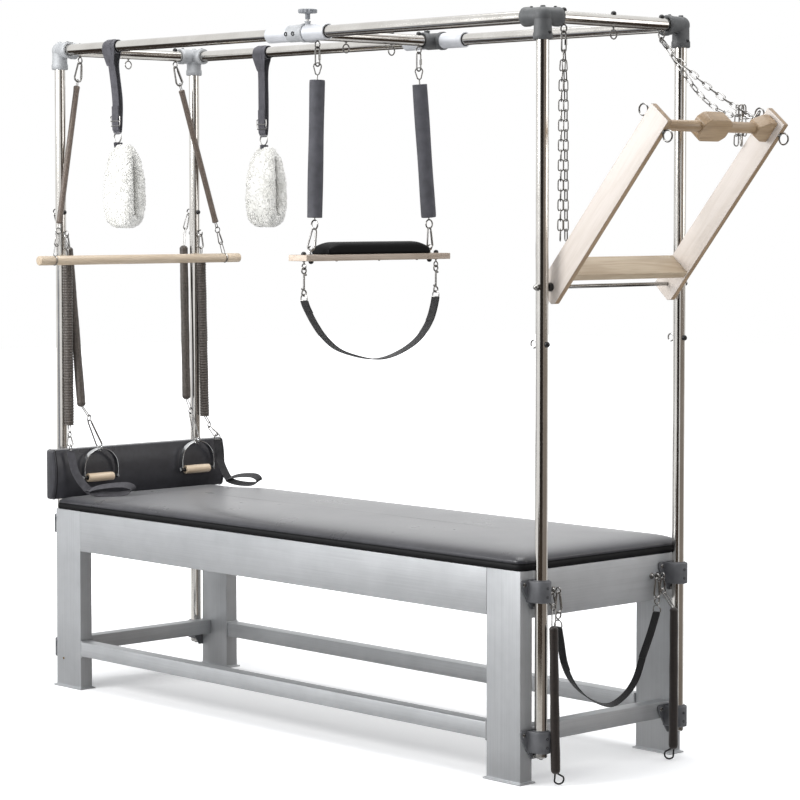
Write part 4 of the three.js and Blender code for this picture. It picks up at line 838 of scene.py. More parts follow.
def ribbon(path, across, width, thick, loop=False):
    """Flat webbing carried along a path: a flattened rectangle with rounded edges."""
    half, flat = width / 2, thick / 2
    lower = np.array([[-half, 0], [-half + 0.5, -flat], [-half / 2, -flat], [0, -flat], [half / 2, -flat],
                      [half - 0.5, -flat]])
    profile = np.concatenate([lower, -lower])
    return skin(carry(profile, path, across, loop), loop=loop)


def curve(points, count, closed=False):
    """A smooth curve through points: each span is a cubic whose slopes are half its neighbours' steps."""
    points = np.asarray(points, float)
    spans = len(points) if closed else len(points) - 1
    t = np.linspace(0, spans, count, endpoint=not closed)
    i = np.minimum(t.astype(int), spans - 1)
    f = (t - i)[:, None]
    pick = (lambda k: points[k % len(points)]) if closed else (lambda k: points[np.clip(k, 0, len(points) - 1)])
    a, b, c, d = pick(i - 1), pick(i), pick(i + 1), pick(i + 2)
    return b + 0.5 * f * (c - a + f * (2 * a - 5 * b + 4 * c - d + f * (3 * (b - c) + d - a)))


maple_along_y = maple("clear_lacquered_maple_crossways", (0, 0, pi / 2))
foam = moulded_plastic("closed_cell_foam_sleeve", ("#434348", "#515157"), 0.7, 260.0, 0.0012, "foam")
black_webbing = webbing("black_polyester_webbing", "#0E0E0F", "#1C1B1D")
thread = moulded_plastic("black_sewing_thread", ("#0E0E0F", "#232326"), 0.7, 900.0, 0.0003, "strap")
facing, aside = np.array([0.683, 0.730, 0]), np.array([-0.730, 0.683, 0])
board_top, board_low, board_middle = 1537, 1517, 10
board_front, board_back, board_half = -309, 327, 45
drift = 11
hanger_eye_y, strap_eye_y = 264, 292
for side, side_name in both_sides:
    y = side * slide_eye_y
    top = np.array([slide_x, y, eye_height]) - in_eye
    outward = side * (24 if side < 0 else 35) + drift
    lean = lambda z: np.array([slide_x, y + outward * np.clip((2140 - z) / 485, 0, 1.06), z])
    wires = quick_link(top)
    wires += [wire_loop(lean(2150), lean(2112), 12.5, 7, facing, 2.3)]
    wires += [bar(lean(2113), lean(2092), 2.4, 14)]
    wires += [bar(lean(1658), lean(1647), 2.4, 14)]
    wires += [ring(lean(1633), 14.5, 2.6, X if side > 0 else Y, 32)]
    foam_top, foam_low = lean(2095), lean(1655)
    ring_low = lean(1618)
    hook_low = np.array([slide_x, drift + side * hanger_eye_y, 1551.5])
    wires += snap_hook(ring_low + [0, 0, 2.5], hook_low, Y if side > 0 else (X + Y) / 1.4, 1.25)
    long = np.linalg.norm(foam_top - foam_low)
    wave = np.linspace(0.02, 0.98, 24)
    swell = 25 + 0.5 * np.sin(wave * 9 + side) - 0.3
    sleeve = [(4, 1.5), (6, 0.4), (22.5, 0), (24.4, 1.2), *zip(swell, wave * long), (24.6, long - 1.2),
              (22.8, long), (6, long - 0.4), (4, long - 1.5)]
    sleeve = turned(sleeve, foam_low, foam_top - foam_low, 56)
    sleeve_piece = piece("foam_sleeve_" + side_name, [sleeve], foam, "swing", "swing_hanger_" + side_name)
    piece("hanger_wires_" + side_name, wires, bright_zinc, "swing")
board = block((slide_x - board_half, board_front, board_low),
              (slide_x + board_half, board_back, board_top), 1.6, 3)
piece("swing_board_maple", [board], maple_along_y, "swing", "swing_board")
# The board's front end, which faces the key lamp, takes a paler copy of the maple: painted light.
lit_end_half = board_half - 1.4
lit_board_end = block((slide_x - lit_end_half, board_front - 0.3, board_low + 1.2),
                  (slide_x + lit_end_half, board_front + 0.6, board_top - 1.2), 0.3, 0.3)
lit_end_maple = maple("maple_painted_light_end", (0, 0, pi / 2), "#DCCCBC", "#CDBBA9")
piece("swing_board_painted_light_end", [lit_board_end], lit_end_maple, "swing")
board_steel, board_caps = [], []
for side in (-1, 1):
    for direction, y, face in ((Z, hanger_eye_y, board_top), (-Z, strap_eye_y, board_low)):
        spot = np.array([slide_x, board_middle + side * y, face])
        board_steel += [ring(spot + direction * 18, 8.8, 2.2, Y),
                        turned([(6.5, -1), (6.5, 1.4), (3, 2.2), (2.6, 10)], spot, direction, 20)]
    cap = [(8.4, 0), (8.4, 3)] + dome(8.3, 7.6, 3, 7)
    over_strap, under_hanger = (board_middle + side * y for y in (strap_eye_y + 1, hanger_eye_y - 2))
    board_caps += [turned(cap, [slide_x, over_strap, board_top - 0.5], Z, 20),
                   turned(cap, [slide_x, under_hanger, board_low + 0.5], -Z, 20)]
board_caps += [turned([(4.4, 0), (4, 1.6), (2, 2.6), (0.3, 2.7)], [slide_x + 26, y, board_low + 0.4], -Z, 16)
               for y in (-166, 20, 190)]
piece("swing_board_eyes", board_steel, bright_zinc, "swing")
piece("swing_board_caps", board_caps, black_cap, "swing")
pad_profile = [(44, 0), (4, 0), (1.5, 0.8), (0.4, 3), (0, 8), (0.3, 14)]
turn = np.linspace(0, pi / 2, 16)
pad_profile += [(0.6 + 34 * (1 - np.cos(a)) ** 1.5, 14 + 25.5 * np.sin(a) ** 0.85) for a in turn[1:]]
pad_profile += [(m, 39.5 + 0.5 * (m - 35) / 9) for m in np.linspace(36, 44, 4)]
pad_local = cushion(250, 44.5, 7, pad_profile, 1.2, 0.5)
ends_drop = np.clip((np.abs(pad_local[..., 0]) - 190) / 60, 0, 1) ** 1.8
pad_local[..., 2] *= 1 - 0.42 * ends_drop
pad_vinyl = black_vinyl("black_swing_pad_vinyl", "#050506", "#0A0A0B", 0.5, 0.0, 1.22)
pad_along, pad_across, pad_up = np.moveaxis(pad_local, 2, 0)
pad_grid = np.stack([slide_x - pad_across, 12 + 0.9 * pad_along, board_top + 0.3 + pad_up], 2)
swing_pad = piece("swing_pad", [skin(pad_grid)], pad_vinyl, "swing", sharp=60)


def double_snap(top, bottom, lateral):
    """A cast double-ended snap: an S of thick wire with a round eye at each end, and the thumb knobs of its
    two spring bolts."""
    top, bottom, lateral = np.asarray(top, float), np.asarray(bottom, float), unit(lateral)
    down = unit(bottom - top)
    long = np.linalg.norm(bottom - top)
    turn = np.linspace(-0.35 * pi, 1.5 * pi, 20)[:, None]
    eye = 9.0
    upper = top + down * eye + eye * (np.cos(turn) * lateral - np.sin(turn) * down)
    lower = bottom - down * eye + eye * (-np.cos(turn) * lateral + np.sin(turn) * down)
    path = np.concatenate([upper, lower[::-1]])
    parts = [skin(carry(circle(2.7, 10), path, np.cross(down, lateral)))]
    for spot, sign in ((top + down * (eye * 2 + 4), 1), (bottom - down * (eye * 2 + 4), -1)):
        parts += [bar(spot - lateral * 2 * sign, spot + lateral * 8.5 * sign, 2.2, 12)]
        parts += [turned([(2.2, 6), (3.6, 7), (3.6, 9.5), (2.2, 10.5)], spot, lateral * sign, 14)]
    parts += [bar(top + down * (eye * 2 - 1), top + down * (long - eye * 2 + 1), 3.4, 14)]
    return parts


def stitches(path, across, width, rows, thick):
    """Rows of short stitches that lie across a webbing path: small bars on both faces at even steps."""
    step = 3.2
    path = np.asarray(path, float)
    run = unit(np.gradient(path, axis=0))
    side = np.broadcast_to(across, path.shape)
    side = unit(side - (side * run).sum(1)[:, None] * run)
    out = np.cross(run, side)
    found = []
    for row in rows:
        for k in np.arange(-width / 2 + 2, width / 2 - 1.5, step):
            for face in (-1, 1):
                middle = path[row] + side[row] * k + out[row] * face * thick / 2
                half = side[row] * step * 0.34
                found += [bar(middle - half, middle + half, 0.45, 5, 0.1)]
    return found


strap_bow = [[-282, 1389], [-270, 1364], [-236, 1314], [-198, 1272], [-138, 1230], [-54, 1204], [24, 1192],
             [90, 1198], [160, 1220], [214, 1248], [250, 1280], [278, 1318], [294, 1358], [302, 1389]]
strap_path = curve([[slide_x, y, z] for y, z in strap_bow], 90)
web = [ribbon(strap_path, X, 35, 3), ribbon(strap_path[:10] + [0, 2.6, 0.8], X, 34.6, 2.4),
       ribbon(strap_path[-16:] + [0, -2.4, 0.8], X, 34.6, 2.4)]
piece("swing_strap_webbing", web, black_webbing, "swing_sling", "swing_strap")
piece("swing_strap_stitches", stitches(strap_path, X, 27, (8, 9, -15, -14), 5.5), thread, "swing_sling")


def in_plane(centre, line, across):
    """Pairs of across and upward as points in the upright plane through a centre."""
    line = np.asarray(line, float)
    return centre + line[:, :1] * across + line[:, 1:] * Z


def d_ring(centre, radius, corner, low, count):
    """A D of round wire that stands across Y: a half circle, and a flat foot with cut corners."""
    turn = np.linspace(0, pi, count)
    line = np.concatenate([radius * np.stack([np.cos(turn), np.sin(turn)], 1),
                           [[-radius, -4], [-corner, low], [corner, low], [radius, -4]]])
    return wire(in_plane(centre, line, X), 1.9, Y)


strap_steel = []
for side in (-1, 1):
    y, d_top = board_middle + side * strap_eye_y, 1411
    strap_steel += double_snap([slide_x, y, board_low - 22], [slide_x, y, d_top - 5], Y)
    strap_steel += [d_ring([slide_x, y, d_top - 15], 15, 14, -5.5, 15)]
piece("swing_strap_hooks", strap_steel, bright_zinc, "swing_sling")

# Push-through bar
# Two flat maple arms turn on an axle rod through the foot posts, with spacers and cap nuts. A turned handle
# with a shaped block in its middle and at its back end joins their tops, and a plain step board joins them
# low down.
maple_upright = maple("clear_lacquered_maple_arms", (0, np.radians(50), 0), "#D9D0C8", "#CFC5BB")
maple_step = maple("clear_lacquered_maple_step", (0, 0, pi / 2), "#B5A48C", "#A08D74")
axle = np.array([post_x, 0, 1457.0])
tilt = np.radians(40)
arm_up = np.array([np.sin(tilt), 0, np.cos(tilt)])
arm_across = np.array([np.cos(tilt), 0, -np.sin(tilt)])


def on_arm(across, y, upward):
    """A point of the push-through bar from its own directions."""
    return axle + arm_across * across + Y * y + arm_up * upward


arm_line = rounded([[-40, -34], [32, -38], [42, -28], [40, 648], [-40, 648]], 3)
arm_y, arm_half, handle_up, arm_eye_up = 255, 10, 603, 611
collar = [(7.5, 39.8), (7.5, 41.2), (3.4, 42), (2.8, 44.5)]
# The arms' edges and end faces take a darker copy of the maple: painted shade on the sides turned away from the
# key lamp.
shaded_edge_maple = maple("maple_edges_painted_shade", (0, np.radians(50), 0), "#9C8468", "#866F55")
for side, side_name in both_sides:
    low, high = -side * arm_y - arm_half, -side * arm_y + arm_half
    arm = slab(arm_line, low, high, 1.2, axle, arm_across, arm_up)
    piece("push_arm_maple_" + side_name, [arm], maple_upright, "push_bar", "push_arm_" + side_name)
    edge = np.array([[on_arm(a, y, u) for a, u in arm_line * [1.006, 1]] for y in (low, high)])
    middle = on_arm(0, (low + high) / 2, 305)
    edge = middle + (edge - middle) * [1, 0.9, 1] + 0.3 * unit((edge - middle) * [1, 0, 1])
    piece("push_arm_painted_shade_edge_" + side_name, [skin(edge, ends=False)], shaded_edge_maple, "push_bar")
    steel = []
    for way in (-1, 1):
        steel += [ring(on_arm(way * 59, side * arm_y, arm_eye_up), 16.4, 2.6, Y),
                  turned(collar, on_arm(0, side * arm_y, arm_eye_up), arm_across * way, 20)]
    piece("push_arm_eyes_" + side_name, steel, bright_zinc, "push_bar")
rod = [(5, -335), (6, -333), (6, 333), (5, 335)]
washer = [(6.1, 321.4), (10.5, 321.4), (11, 321.9), (11, 323), (6.1, 323)]
spacer = [(6.1, 265.6), (12.4, 265.6), (13, 266.2), (13, 281.8), (12.4, 282.4), (6.1, 282.4)]
nut = [(8.2, 322.8), (8.6, 323.4), (8.6, 328.5)] + dome(7.4, 7, 329, 7)


def on_axle(profile, count):
    """A profile turned on both ends of the axle."""
    return [turned(profile, axle, way, count) for way in (-Y, Y)]


piece("axle_rod", [turned(rod, axle, Y, 24)] + on_axle(washer, 28), bright_zinc, "root", "pivot_rod")
piece("axle_spacers", on_axle(spacer, 32), black_cap, "root")
piece("axle_cap_nuts", on_axle(nut, 20), bright_zinc, "root")
handle = on_arm(0, 0, handle_up)
inside = 244.7
blocks = [turned([(16, -inside), (16.4, 0.5 - inside), (16.4, inside - 0.5), (16, inside)], handle, Y, 48)]
centre_outline = [[-70, -22], [-52, -39], [32, -39], [51, -22], [51, 22], [32, 39], [-52, 39], [-70, 22]]
blocks += [slab(rounded(centre_outline, 7), -22, 22, 4, handle, Y, arm_up, rim=6)]
cheek = [[inside, -35], [inside, 35], [214.7, 35], [174.7, 16], [174.7, -16], [214.7, -35]]
blocks += [slab(rounded(cheek, 6), -22, 22, 3.5, handle, Y, arm_up, rim=6)]
maple_handle = maple("clear_lacquered_maple_handle", (0, 0, pi / 2), "#A48C6E", "#8A7256")
piece("push_handle_maple", blocks, maple_handle, "push_bar", "push_handle", sharp=45)
step = slab(rounded(rectangle(-inside, 58, inside, 80), 1.6, 4), -40, 40, 1.5, axle, Y, arm_up)
piece("step_board_maple", [step], maple_step, "push_bar", "step_board")

# Safety chains
# Welded links of 4 mm wire, 29 mm to the pitch, each turned a quarter from the last. One chain hangs straight
# in two strands; the other runs to the push-through bar and gathers its spare length in a bunch near its end.


def chain_links(path, roll, first):
    """Links along a path: each is a loop of wire whose middle lies on it, a pitch from the last, and links
    turn about the path by a quarter in turn."""
    pitch, length, width = 29, 35, 15
    reached = np.append(0, np.cumsum(np.linalg.norm(np.diff(path, axis=0), axis=1)))
    point = lambda at: np.array([np.interp(at, reached, line) for line in path.T])
    made = []
    for k, at in enumerate(np.arange(pitch * 0.6, reached[-1], pitch)):
        middle = point(at)
        run = unit(point(min(at + 2, reached[-1])) - point(max(at - 2, 0)))
        flat = unit(np.cross(run, [0.3, 1, 0.2]))
        angle = roll + (k + first) * pi / 2
        lateral = np.cos(angle) * flat + np.sin(angle) * np.cross(run, flat)
        ends = (middle - run * length / 2, middle + run * length / 2)
        made += [wire_loop(*ends, width / 2, width / 2, lateral, 2.0, 6)]
    return made


chain_eye = np.array([post_x, -end_eye_y, eye_height])
near_chain = quick_link(chain_eye - in_eye)
for offset, start in ((-8, 0), (8, 1)):
    drop = np.linspace(0, 1, 12)[:, None]
    hang = chain_eye + [0, 0, -58] + drop * np.array([offset * 0.15, offset * 0.3, -545.0])
    spread = np.sin(np.clip(drop * 4, 0, 1) * pi / 2)
    hang = hang + spread * np.array([0.45, 0.6, 0]) * offset
    near_chain += chain_links(hang, 0.6 + start, start)
chain_zinc = polished_steel("dull_zinc_chain", ("#8A8987", "#AAA9A7"), 0.22)
piece("chain_links_front", near_chain, chain_zinc, "hanging_chain", "chain_front")
far_eye = np.array([post_x, end_eye_y, eye_height])
arm_eye = on_arm(-59, arm_y, arm_eye_up)
far_top = far_eye - [0, 0, 12]
share = np.linspace(0, 1, 30)[:, None]
far_chain = [ring(far_eye - [0, 0, 13], 8, 1.9, X)]
strands = []
for offset, sag in ((-9, 20), (9, 85)):
    line = far_top + share * (arm_eye - [0, 0, 12] - far_top) - sag * np.sin(pi * share) * Z
    line += offset * np.sin(pi * np.clip(share * 3, 0, 0.5)) * np.array([0, 0.3, 0.9])
    strands += chain_links(line, 0.3 + offset, offset > 0)
bunch_top = arm_eye + [-64, -10, 28]
bunch = []
for k, (dx, dy, drop) in enumerate(((-8, -5, 112), (-2, 6, 128), (6, -5, 118), (9, 4, 98))):
    fall = np.linspace(0, 1, 8)[:, None]
    bunch += chain_links(bunch_top + [dx, dy, 0] + fall * np.array([dx * 0.3, dy * 0.3, -drop]), k, k)
hook = snap_hook(arm_eye + [0, 0, 8.2], arm_eye + [-26, -4, -34], Y, 1.0)
far_chain = piece("chain_links_back", far_chain + strands + bunch + hook, chain_zinc, None, "chain_back")
metres(far_top)
metres(arm_eye)
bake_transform(far_chain)

# Roll-down bar
# A maple dowel with two grooves hangs on thin springs in brown cloth covers, each on a snap hook above and a
# ring, a snap hook and a wire eye round the groove below.


def cloth_cover(name, dark, light, rough):
    """Ribbed cloth sleeving over a spring: dull brown-grey, with the coil's ribs across it every 4 mm, and
    lint."""
    made, tree, place = new_material(name, "spring_cover")
    mixed = maths(tree, "MULTIPLY_ADD", uv_wave(tree, 1, 0.004), 0.18, noise(tree, place, 160.0, 4.0))
    return surface(made, mix(tree, ramp(tree, mixed, 0.3, 0.72), dark, light), rough,
                   bump(tree, mixed, 0.4, 0.0006), {"Sheen Weight": 0.2})


brown_cover = cloth_cover("brown_spring_sleeve", "#4A3E36", "#6C5F54", 0.45)
dark_cover = cloth_cover("dark_spring_sleeve", "#322C28", "#5A524B", 0.42)
dowel_centre = np.array([-1104.0, 0, 1503])
thin_cover = [(3, 0), (9.5, 0.6), (11.6, 3), (11.2, 9), (10.6, 20), (10.4, 462), (11, 474), (11.6, 481),
              (9.5, 484.4), (3, 485)]
groove_y = 384
groove = [(16.5, 377), (15.6, 378.5), (14.2, 381), (13.9, groove_y), (14.2, 387), (15.6, 389.5), (16.5, 391)]
dowel_half = [(16.5, 0.4)] + groove + [(16.5, 448), (15.8, 450.2), (14.5, 451)]
dowel = [(r, -h) for r, h in dowel_half[::-1]] + dowel_half
maple_dowel = maple("clear_lacquered_maple_dowel", (0, 0, pi / 2), "#CBBAA4", "#B8A68E")
dowel_skin = turned(dowel, dowel_centre, Y, 48)
piece("roll_down_dowel_maple", [dowel_skin], maple_dowel, "roll_bar", "roll_down_dowel")
for side, side_name in both_sides:
    eye = np.array([-post_x, side * end_eye_y, eye_height])
    low = dowel_centre + [0, side * groove_y, 0]
    down = unit(low - eye)
    at = lambda drop: eye + (low - eye) * drop / (eye[2] - low[2])
    hooks = snap_hook(eye - in_eye, at(72), Y, 1.5)
    hooks += [wire_loop(at(64), at(92), 4.6, 4.6, X, 1.6)]
    hooks += [wire_loop(at(569), at(592), 4.6, 6.0, X, 1.6), ring(at(599), 10.5, 1.9, X)]
    hooks += snap_hook(at(607), at(652), Y, 0.95)
    hooks += [ring(low, 16.4, 1.7, Y, 36), wire_loop(at(644), at(687), 5.5, 7.0, Y, 1.6)]
    run = np.linalg.norm(at(573) - at(88))
    cover = [(r, h * run / 485) for r, h in thin_cover]
    body = turned(cover, at(573), at(88) - at(573), 36)
    sleeve = piece("roll_spring_sleeve_" + side_name, [body], brown_cover, None,
                   "roll_down_spring_" + side_name)
    wires = piece("roll_spring_hooks_" + side_name, hooks, bright_zinc, None)
    for made in (sleeve, wires):
        metres(at(20))
        metres(at(680))
        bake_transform(made)

# Fleece slings
# Two loops of white fleece on webbing straps. Each strap is wrapped round a long top tube and its two layers
# pass a sliding buckle on their way to a D-ring, which the strap of the fleece goes through.


def fleece(name):
    """White wool fleece: bright, matt, with soft shade between the tufts and a little sheen."""
    made, tree, place = new_material(name, "fleece")
    curls = noise(tree, place, 95.0, 4.0, 0.7)
    tone = ramp(tree, maths(tree, "ADD", curls, noise(tree, place, 14.0, 2.0)), 0.7, 1.2)
    return surface(made, mix(tree, tone, "#DCDBD5", "#EFEEEA"), 0.9, bump(tree, curls, 0.35, 0.003),
                   {"Sheen Weight": 0.5, "Sheen Roughness": 0.5})


def tufts(points, outward, count, seed):
    """Locks of wool: three-sided strands of 2.5 to 4.5 mm that stand on a grid of points, lean at random and
    bend over at their tips. Every random number comes from one seed."""
    chance = np.random.default_rng(seed)
    rows, cols = points.shape[:2]
    r = chance.uniform(0, rows - 1.001, count)
    c = chance.uniform(0, cols, count)
    i, j = r.astype(int), c.astype(int)
    fr, fc = (r - i)[:, None], (c - j)[:, None]
    pick = lambda grid: ((1 - fr) * (1 - fc) * grid[i, j] + fr * (1 - fc) * grid[i + 1, j] +
                         (1 - fr) * fc * grid[i, (j + 1) % cols] + fr * fc * grid[i + 1, (j + 1) % cols])
    foot, out = pick(points), unit(pick(outward))
    lean = unit(out + chance.normal(0, 0.55, (count, 3)))
    droop = unit(lean + chance.normal(0, 0.8, (count, 3)) + [0, 0, -0.5])
    long = chance.uniform(2.5, 4.5, count)[:, None]
    side = unit(np.cross(lean, chance.normal(0, 1, (count, 3))))
    other = np.cross(lean, side)
    turn = np.arange(3) * 2 * pi / 3
    levels = []
    for share, width in ((-0.3, 2.4), (0.35, 3.2), (0.7, 2.5), (1.0, 0.7)):
        spot = foot + lean * long * min(share, 0.6) + droop * long * max(share - 0.6, 0)
        spread = np.cos(turn)[:, None, None] * side + np.sin(turn)[:, None, None] * other
        levels.append(spot[None] + width * spread)
    grid = np.stack(levels)
    verts = grid.transpose(2, 0, 1, 3).reshape(-1, 3)
    level, corner = np.meshgrid(np.arange(3), np.arange(3), indexing="ij")
    quad = np.stack([level * 3 + corner, level * 3 + (corner + 1) % 3, level * 3 + 3 + (corner + 1) % 3,
                     level * 3 + 3 + corner], -1)
    quads = (np.arange(count)[:, None, None] * 12 + quad.reshape(1, -1, 4)).reshape(-1, 4)
    uv = np.zeros((len(quads), 4, 2))
    first = np.arange(count)[:, None] * 12
    lids = (first + [2, 1, 0]).tolist() + (first + [9, 10, 11]).tolist()
    return verts, quads, uv, lids


wool = fleece("white_wool_fleece")
ring_drop = 312
fleece_outer = [[0, 151], [-16, 142], [-29, 112], [-38, 62], [-43, 10], [-45, -40], [-43, -92], [-34, -128],
                [-18, -146], [0, -151]]
fleece_inner = [[0, 108], [-3, 92], [-6, 60], [-7, 10], [-7, -60], [-6, -98], [0, -109]]


def both_halves(half):
    """A closed outline from its left half, whose first and last points lie on the middle line."""
    return half + [[-y, z] for y, z in half[-2:0:-1]]


grey_webbing = webbing("dark_grey_webbing", "#3C3B41", "#54535A")
for side, side_name, x in ((-1, "front", -845.0), (1, "back", -783.0)):
    y = side * post_y
    body, cloth = "sling_strap_" + side_name, "sling_fleece_" + side_name
    top = np.array([x, y, tube_height])
    turn = full_turn(36)
    strap = []
    lead = -24 if side < 0 else -2
    for radius, shift, width in ((21.0, lead - 18, 32), (22.6, lead + 16, 34), (24.2, lead - 1, 34)):
        hoop = top + radius * np.stack([0 * turn, np.sin(turn), np.cos(turn)], 1)
        hoop[:, 0] += shift + 2.5 * np.sin(turn + radius)
        strap += [ribbon(hoop, X, width, 1.9, loop=True)]
    ring_top = 15.5 - ring_drop
    for s in (-1, 1):
        flare = [[lead + s * 20, -21.6, -4], [lead + s * 15, -19, -26], [lead + s * 4, -12, -62]]
        strap += [ribbon(curve(top + flare, 16), X, 32, 1.8)]
    for s in (-1, 1):
        layer = [[lead, s * 23, -2], [lead, s * 20, -25], [lead * 0.8, s * 9, -70], [0, s * 8.5, -180],
                 [0, s * 8, -254], [0, s * 5, ring_top + 8], [0, s * 2.2, ring_top + 1]]
        strap += [ribbon(curve(top + layer, 60), X, 36, 2)]
    turn = np.linspace(0, pi, 9)
    fold = np.stack([0 * turn, -2.6 * np.cos(turn), ring_top - 1 - 2.6 * np.sin(turn)], 1)
    tail = curve(top + [[0, -11.2, -205], [0, -10.8, -235], [0, -10.6, -258], [0, -8.2, -288]], 20)
    strap += [ribbon(top + fold, X, 34, 2), ribbon(tail, X, 35, 2)]
    piece("sling_webbing_" + side_name, strap, grey_webbing, body, body)
    buckle = top - [0, 9.5, 256]
    loop = rounded([[-26, 17], [26, 17], [26, -17], [-26, -17]], 6)
    metal = [wire(in_plane(buckle, loop, X), 1.9, -Y),
             bar(buckle + [-24, -2, 0], buckle + [24, -2, 0], 1.9, 12)]
    flat = np.linspace(-pi / 2 - 0.5, 3 * pi / 2 - 0.5 - 2 * pi / 30, 30)
    d_line = np.stack([np.cos(flat) * 19, np.clip(np.sin(flat) * 18, -20, 13.0)], 1)
    metal += [wire(in_plane(top - [0, 0, ring_drop], d_line, X), 2.3, Y)]
    piece("sling_buckle_" + side_name, metal, bright_zinc, body)
    middle = np.array([x + (36 if side < 0 else 13), y, 1761.0])
    line, hole = (curve(both_halves(half), 120, closed=True) for half in (fleece_outer, fleece_inner))
    around = full_turn(28)
    outward = np.clip(0.5 + 0.62 * np.cos(around), 0.02, 0.98)
    ring_y, ring_z = (hole[:, i:i + 1] + (line - hole)[:, i:i + 1] * outward for i in (0, 1))
    reach = np.interp(ring_z, [-150, -140, -100, 0, 60, 110, 150], [48, 60, 71, 72, 66, 54, 34])
    across = reach * np.sign(np.sin(around)) * np.abs(np.sin(around)) ** 0.55
    wobble = 1.6 * np.sin(np.linspace(0, 22 * pi, 120))[:, None] * np.cos(around * 3)
    pad = np.stack([middle[0] + across, middle[1] + ring_y + wobble, middle[2] + 0.935 * ring_z], 2)
    core = pad.mean(1, keepdims=True)
    soft = piece("sling_fleece_body_" + side_name, [skin(pad, loop=True)], wool, cloth, cloth, sharp=180)
    wrapped = np.concatenate([pad, pad[:1]])
    out = wrapped - np.concatenate([core, core[:1]])
    out[..., 0] = 38 * np.sign(out[..., 0]) * (np.abs(out[..., 0]) / 72) ** 4
    piece("sling_fleece_tufts_" + side_name, [tufts(wrapped, out, 6000, 11 + side)], wool, cloth, sharp=180)
    hang = curve([[x + 2, y, 1911], [x + 8, y, 1880], [x + 16, y, 1850]], 12)
    tab = [ribbon(hang + [-2.2, 0, 0], Y, 34, 2), ribbon(hang + [2.2, 0, 0], Y, 34, 2)]
    piece("sling_tab_" + side_name, tab, grey_webbing, cloth)

# Leg springs and foot straps
# Two long springs in gathered dark covers hang on snap hooks inside the head posts. Each carries a ring and a
# snap hook, and a foot strap of folded webbing whose sewn loop lies on the mat.
for side, side_name in both_sides:
    eye = np.array([-post_x + eye_reach, side * post_y, head_eye_low])
    body, strap_body = "leg_spring_" + side_name, "foot_strap_" + side_name
    top = np.array([-1140, side * post_y, 1517.0])
    low = np.array([-1136, -post_y, 919.0]) if side < 0 else np.array([-1135, 312, 919.0])
    run = np.linalg.norm(low - top)
    level = np.linspace(6, run - 5, 420)
    ribs = 16.2 + 1.0 * np.sin(level * 2 * pi / 9.6) + 0.35 * np.sin(level / 23 + side)
    cover = [(3, 0), (14, 0.4), (16.4, 1.6), *zip(ribs, level), (17.2, run - 3), (15, run - 0.6), (3, run)]
    piece("leg_spring_cover_" + side_name, [turned(cover, low, top - low, 40)], dark_cover, body, body)
    hook_top = eye - in_eye
    steel = snap_hook(hook_top, hook_top - [-3, 0, 52], Y, 1.05)
    steel += [wire_loop(hook_top - [-3, 0, 46], top - [0, 0, 2], 5.5, 4.5, X, 1.9)]
    hang = np.array([-1088, side * 332, 850.0])
    mid = low + (hang - low) * np.array([0.35, 0.35, 0.2])
    steel += [wire_loop(low + [0, 0, 3], mid - [0, 0, 10], 5, 5.5, X, 1.8)]
    steel += [ring(mid - [0, 0, 17], 10.5, 2.0, X + Y * 0.5)]
    steel += snap_hook(mid - [0, 0, 24], hang, X * 0.6 + Y * 0.8, 1.0)
    piece("leg_spring_hooks_" + side_name, steel, bright_zinc, body)
    reach = unit([0.79864, 0.60182, 0]) if side < 0 else X
    place = lambda along, height: hang + reach * along + [0, 0, height]
    mat_top = 680.0 - hang[2] + 1.8
    ring_low = -18.0
    d_turn = full_turn(26)
    d_line = np.stack([np.cos(d_turn) * 14, np.clip(np.sin(d_turn) * 12.5, -8.5, 13)], 1)
    d_ring_wire = wire(in_plane(place(0, -7), d_line, np.cross(Z, reach)), 1.9, reach)
    piece("foot_strap_ring_" + side_name, [d_ring_wire], bright_zinc, strap_body)
    drop = [[0, ring_low + 2], [5, ring_low - 26], [16, (ring_low + mat_top) / 2 + 6], [36, mat_top + 46],
            [58, mat_top + 20], [74, mat_top + 10]]
    line = np.array([place(a, h) for a, h in curve(drop, 46)])
    twist = np.clip((np.arange(46) - 26) / 19, 0, 1)[:, None] ** 2
    lying = facing + 0.7 * aside + 0.7 * Z
    lie = facing * (1 - twist) + lying * twist
    out = unit(np.cross(np.gradient(line, axis=0), lie))
    sewn_pair = [ribbon(line + out * 1.1, lie, 27, 2), ribbon(line - out * 1.1, lie, 27, 2)]
    length = 225 if side < 0 else 237
    shape = [[66, 0.34], [100, 0.1], [140, 0.02], [length * 0.8, 0.08], [length * 0.94, 0.3], [length, 0.66],
             [length * 0.97, 0.98], [length * 0.86, 1.16], [150, 1.06], [110, 0.86], [80, 0.6]]
    loop_line = [place(a, mat_top + 30 * h) for a, h in curve(shape, 84, closed=True)]
    web = sewn_pair + [ribbon(loop_line, lying, 27, 2.2, loop=True)]
    tones = ("#2E2D31", "#48474C") if side < 0 else ("#151517", "#2A292C")
    cloth = webbing("foot_strap_webbing_" + side_name, *tones)
    piece("foot_strap_web_" + side_name, web, cloth, strap_body, strap_body)
    sewn = stitches(line, lie, 26, (14, 15, 34, 37, 40), 4.4)
    piece("foot_strap_stitches_" + side_name, sewn, thread, strap_body)

# Arm springs and handles
# Two long springs in smooth dark covers hang outside the head posts. Each ends in a ring and a snap hook with
# a D-handle: a bent strip of chromed steel with a wooden grip turned on its rod.


def between_caps(cap, radius, height, long):
    """A spring cover's profile: radii at heights, between a rounded cap and the same cap turned over."""
    return cap + list(zip(radius, height)) + [(r, long - h) for r, h in cap[::-1]]


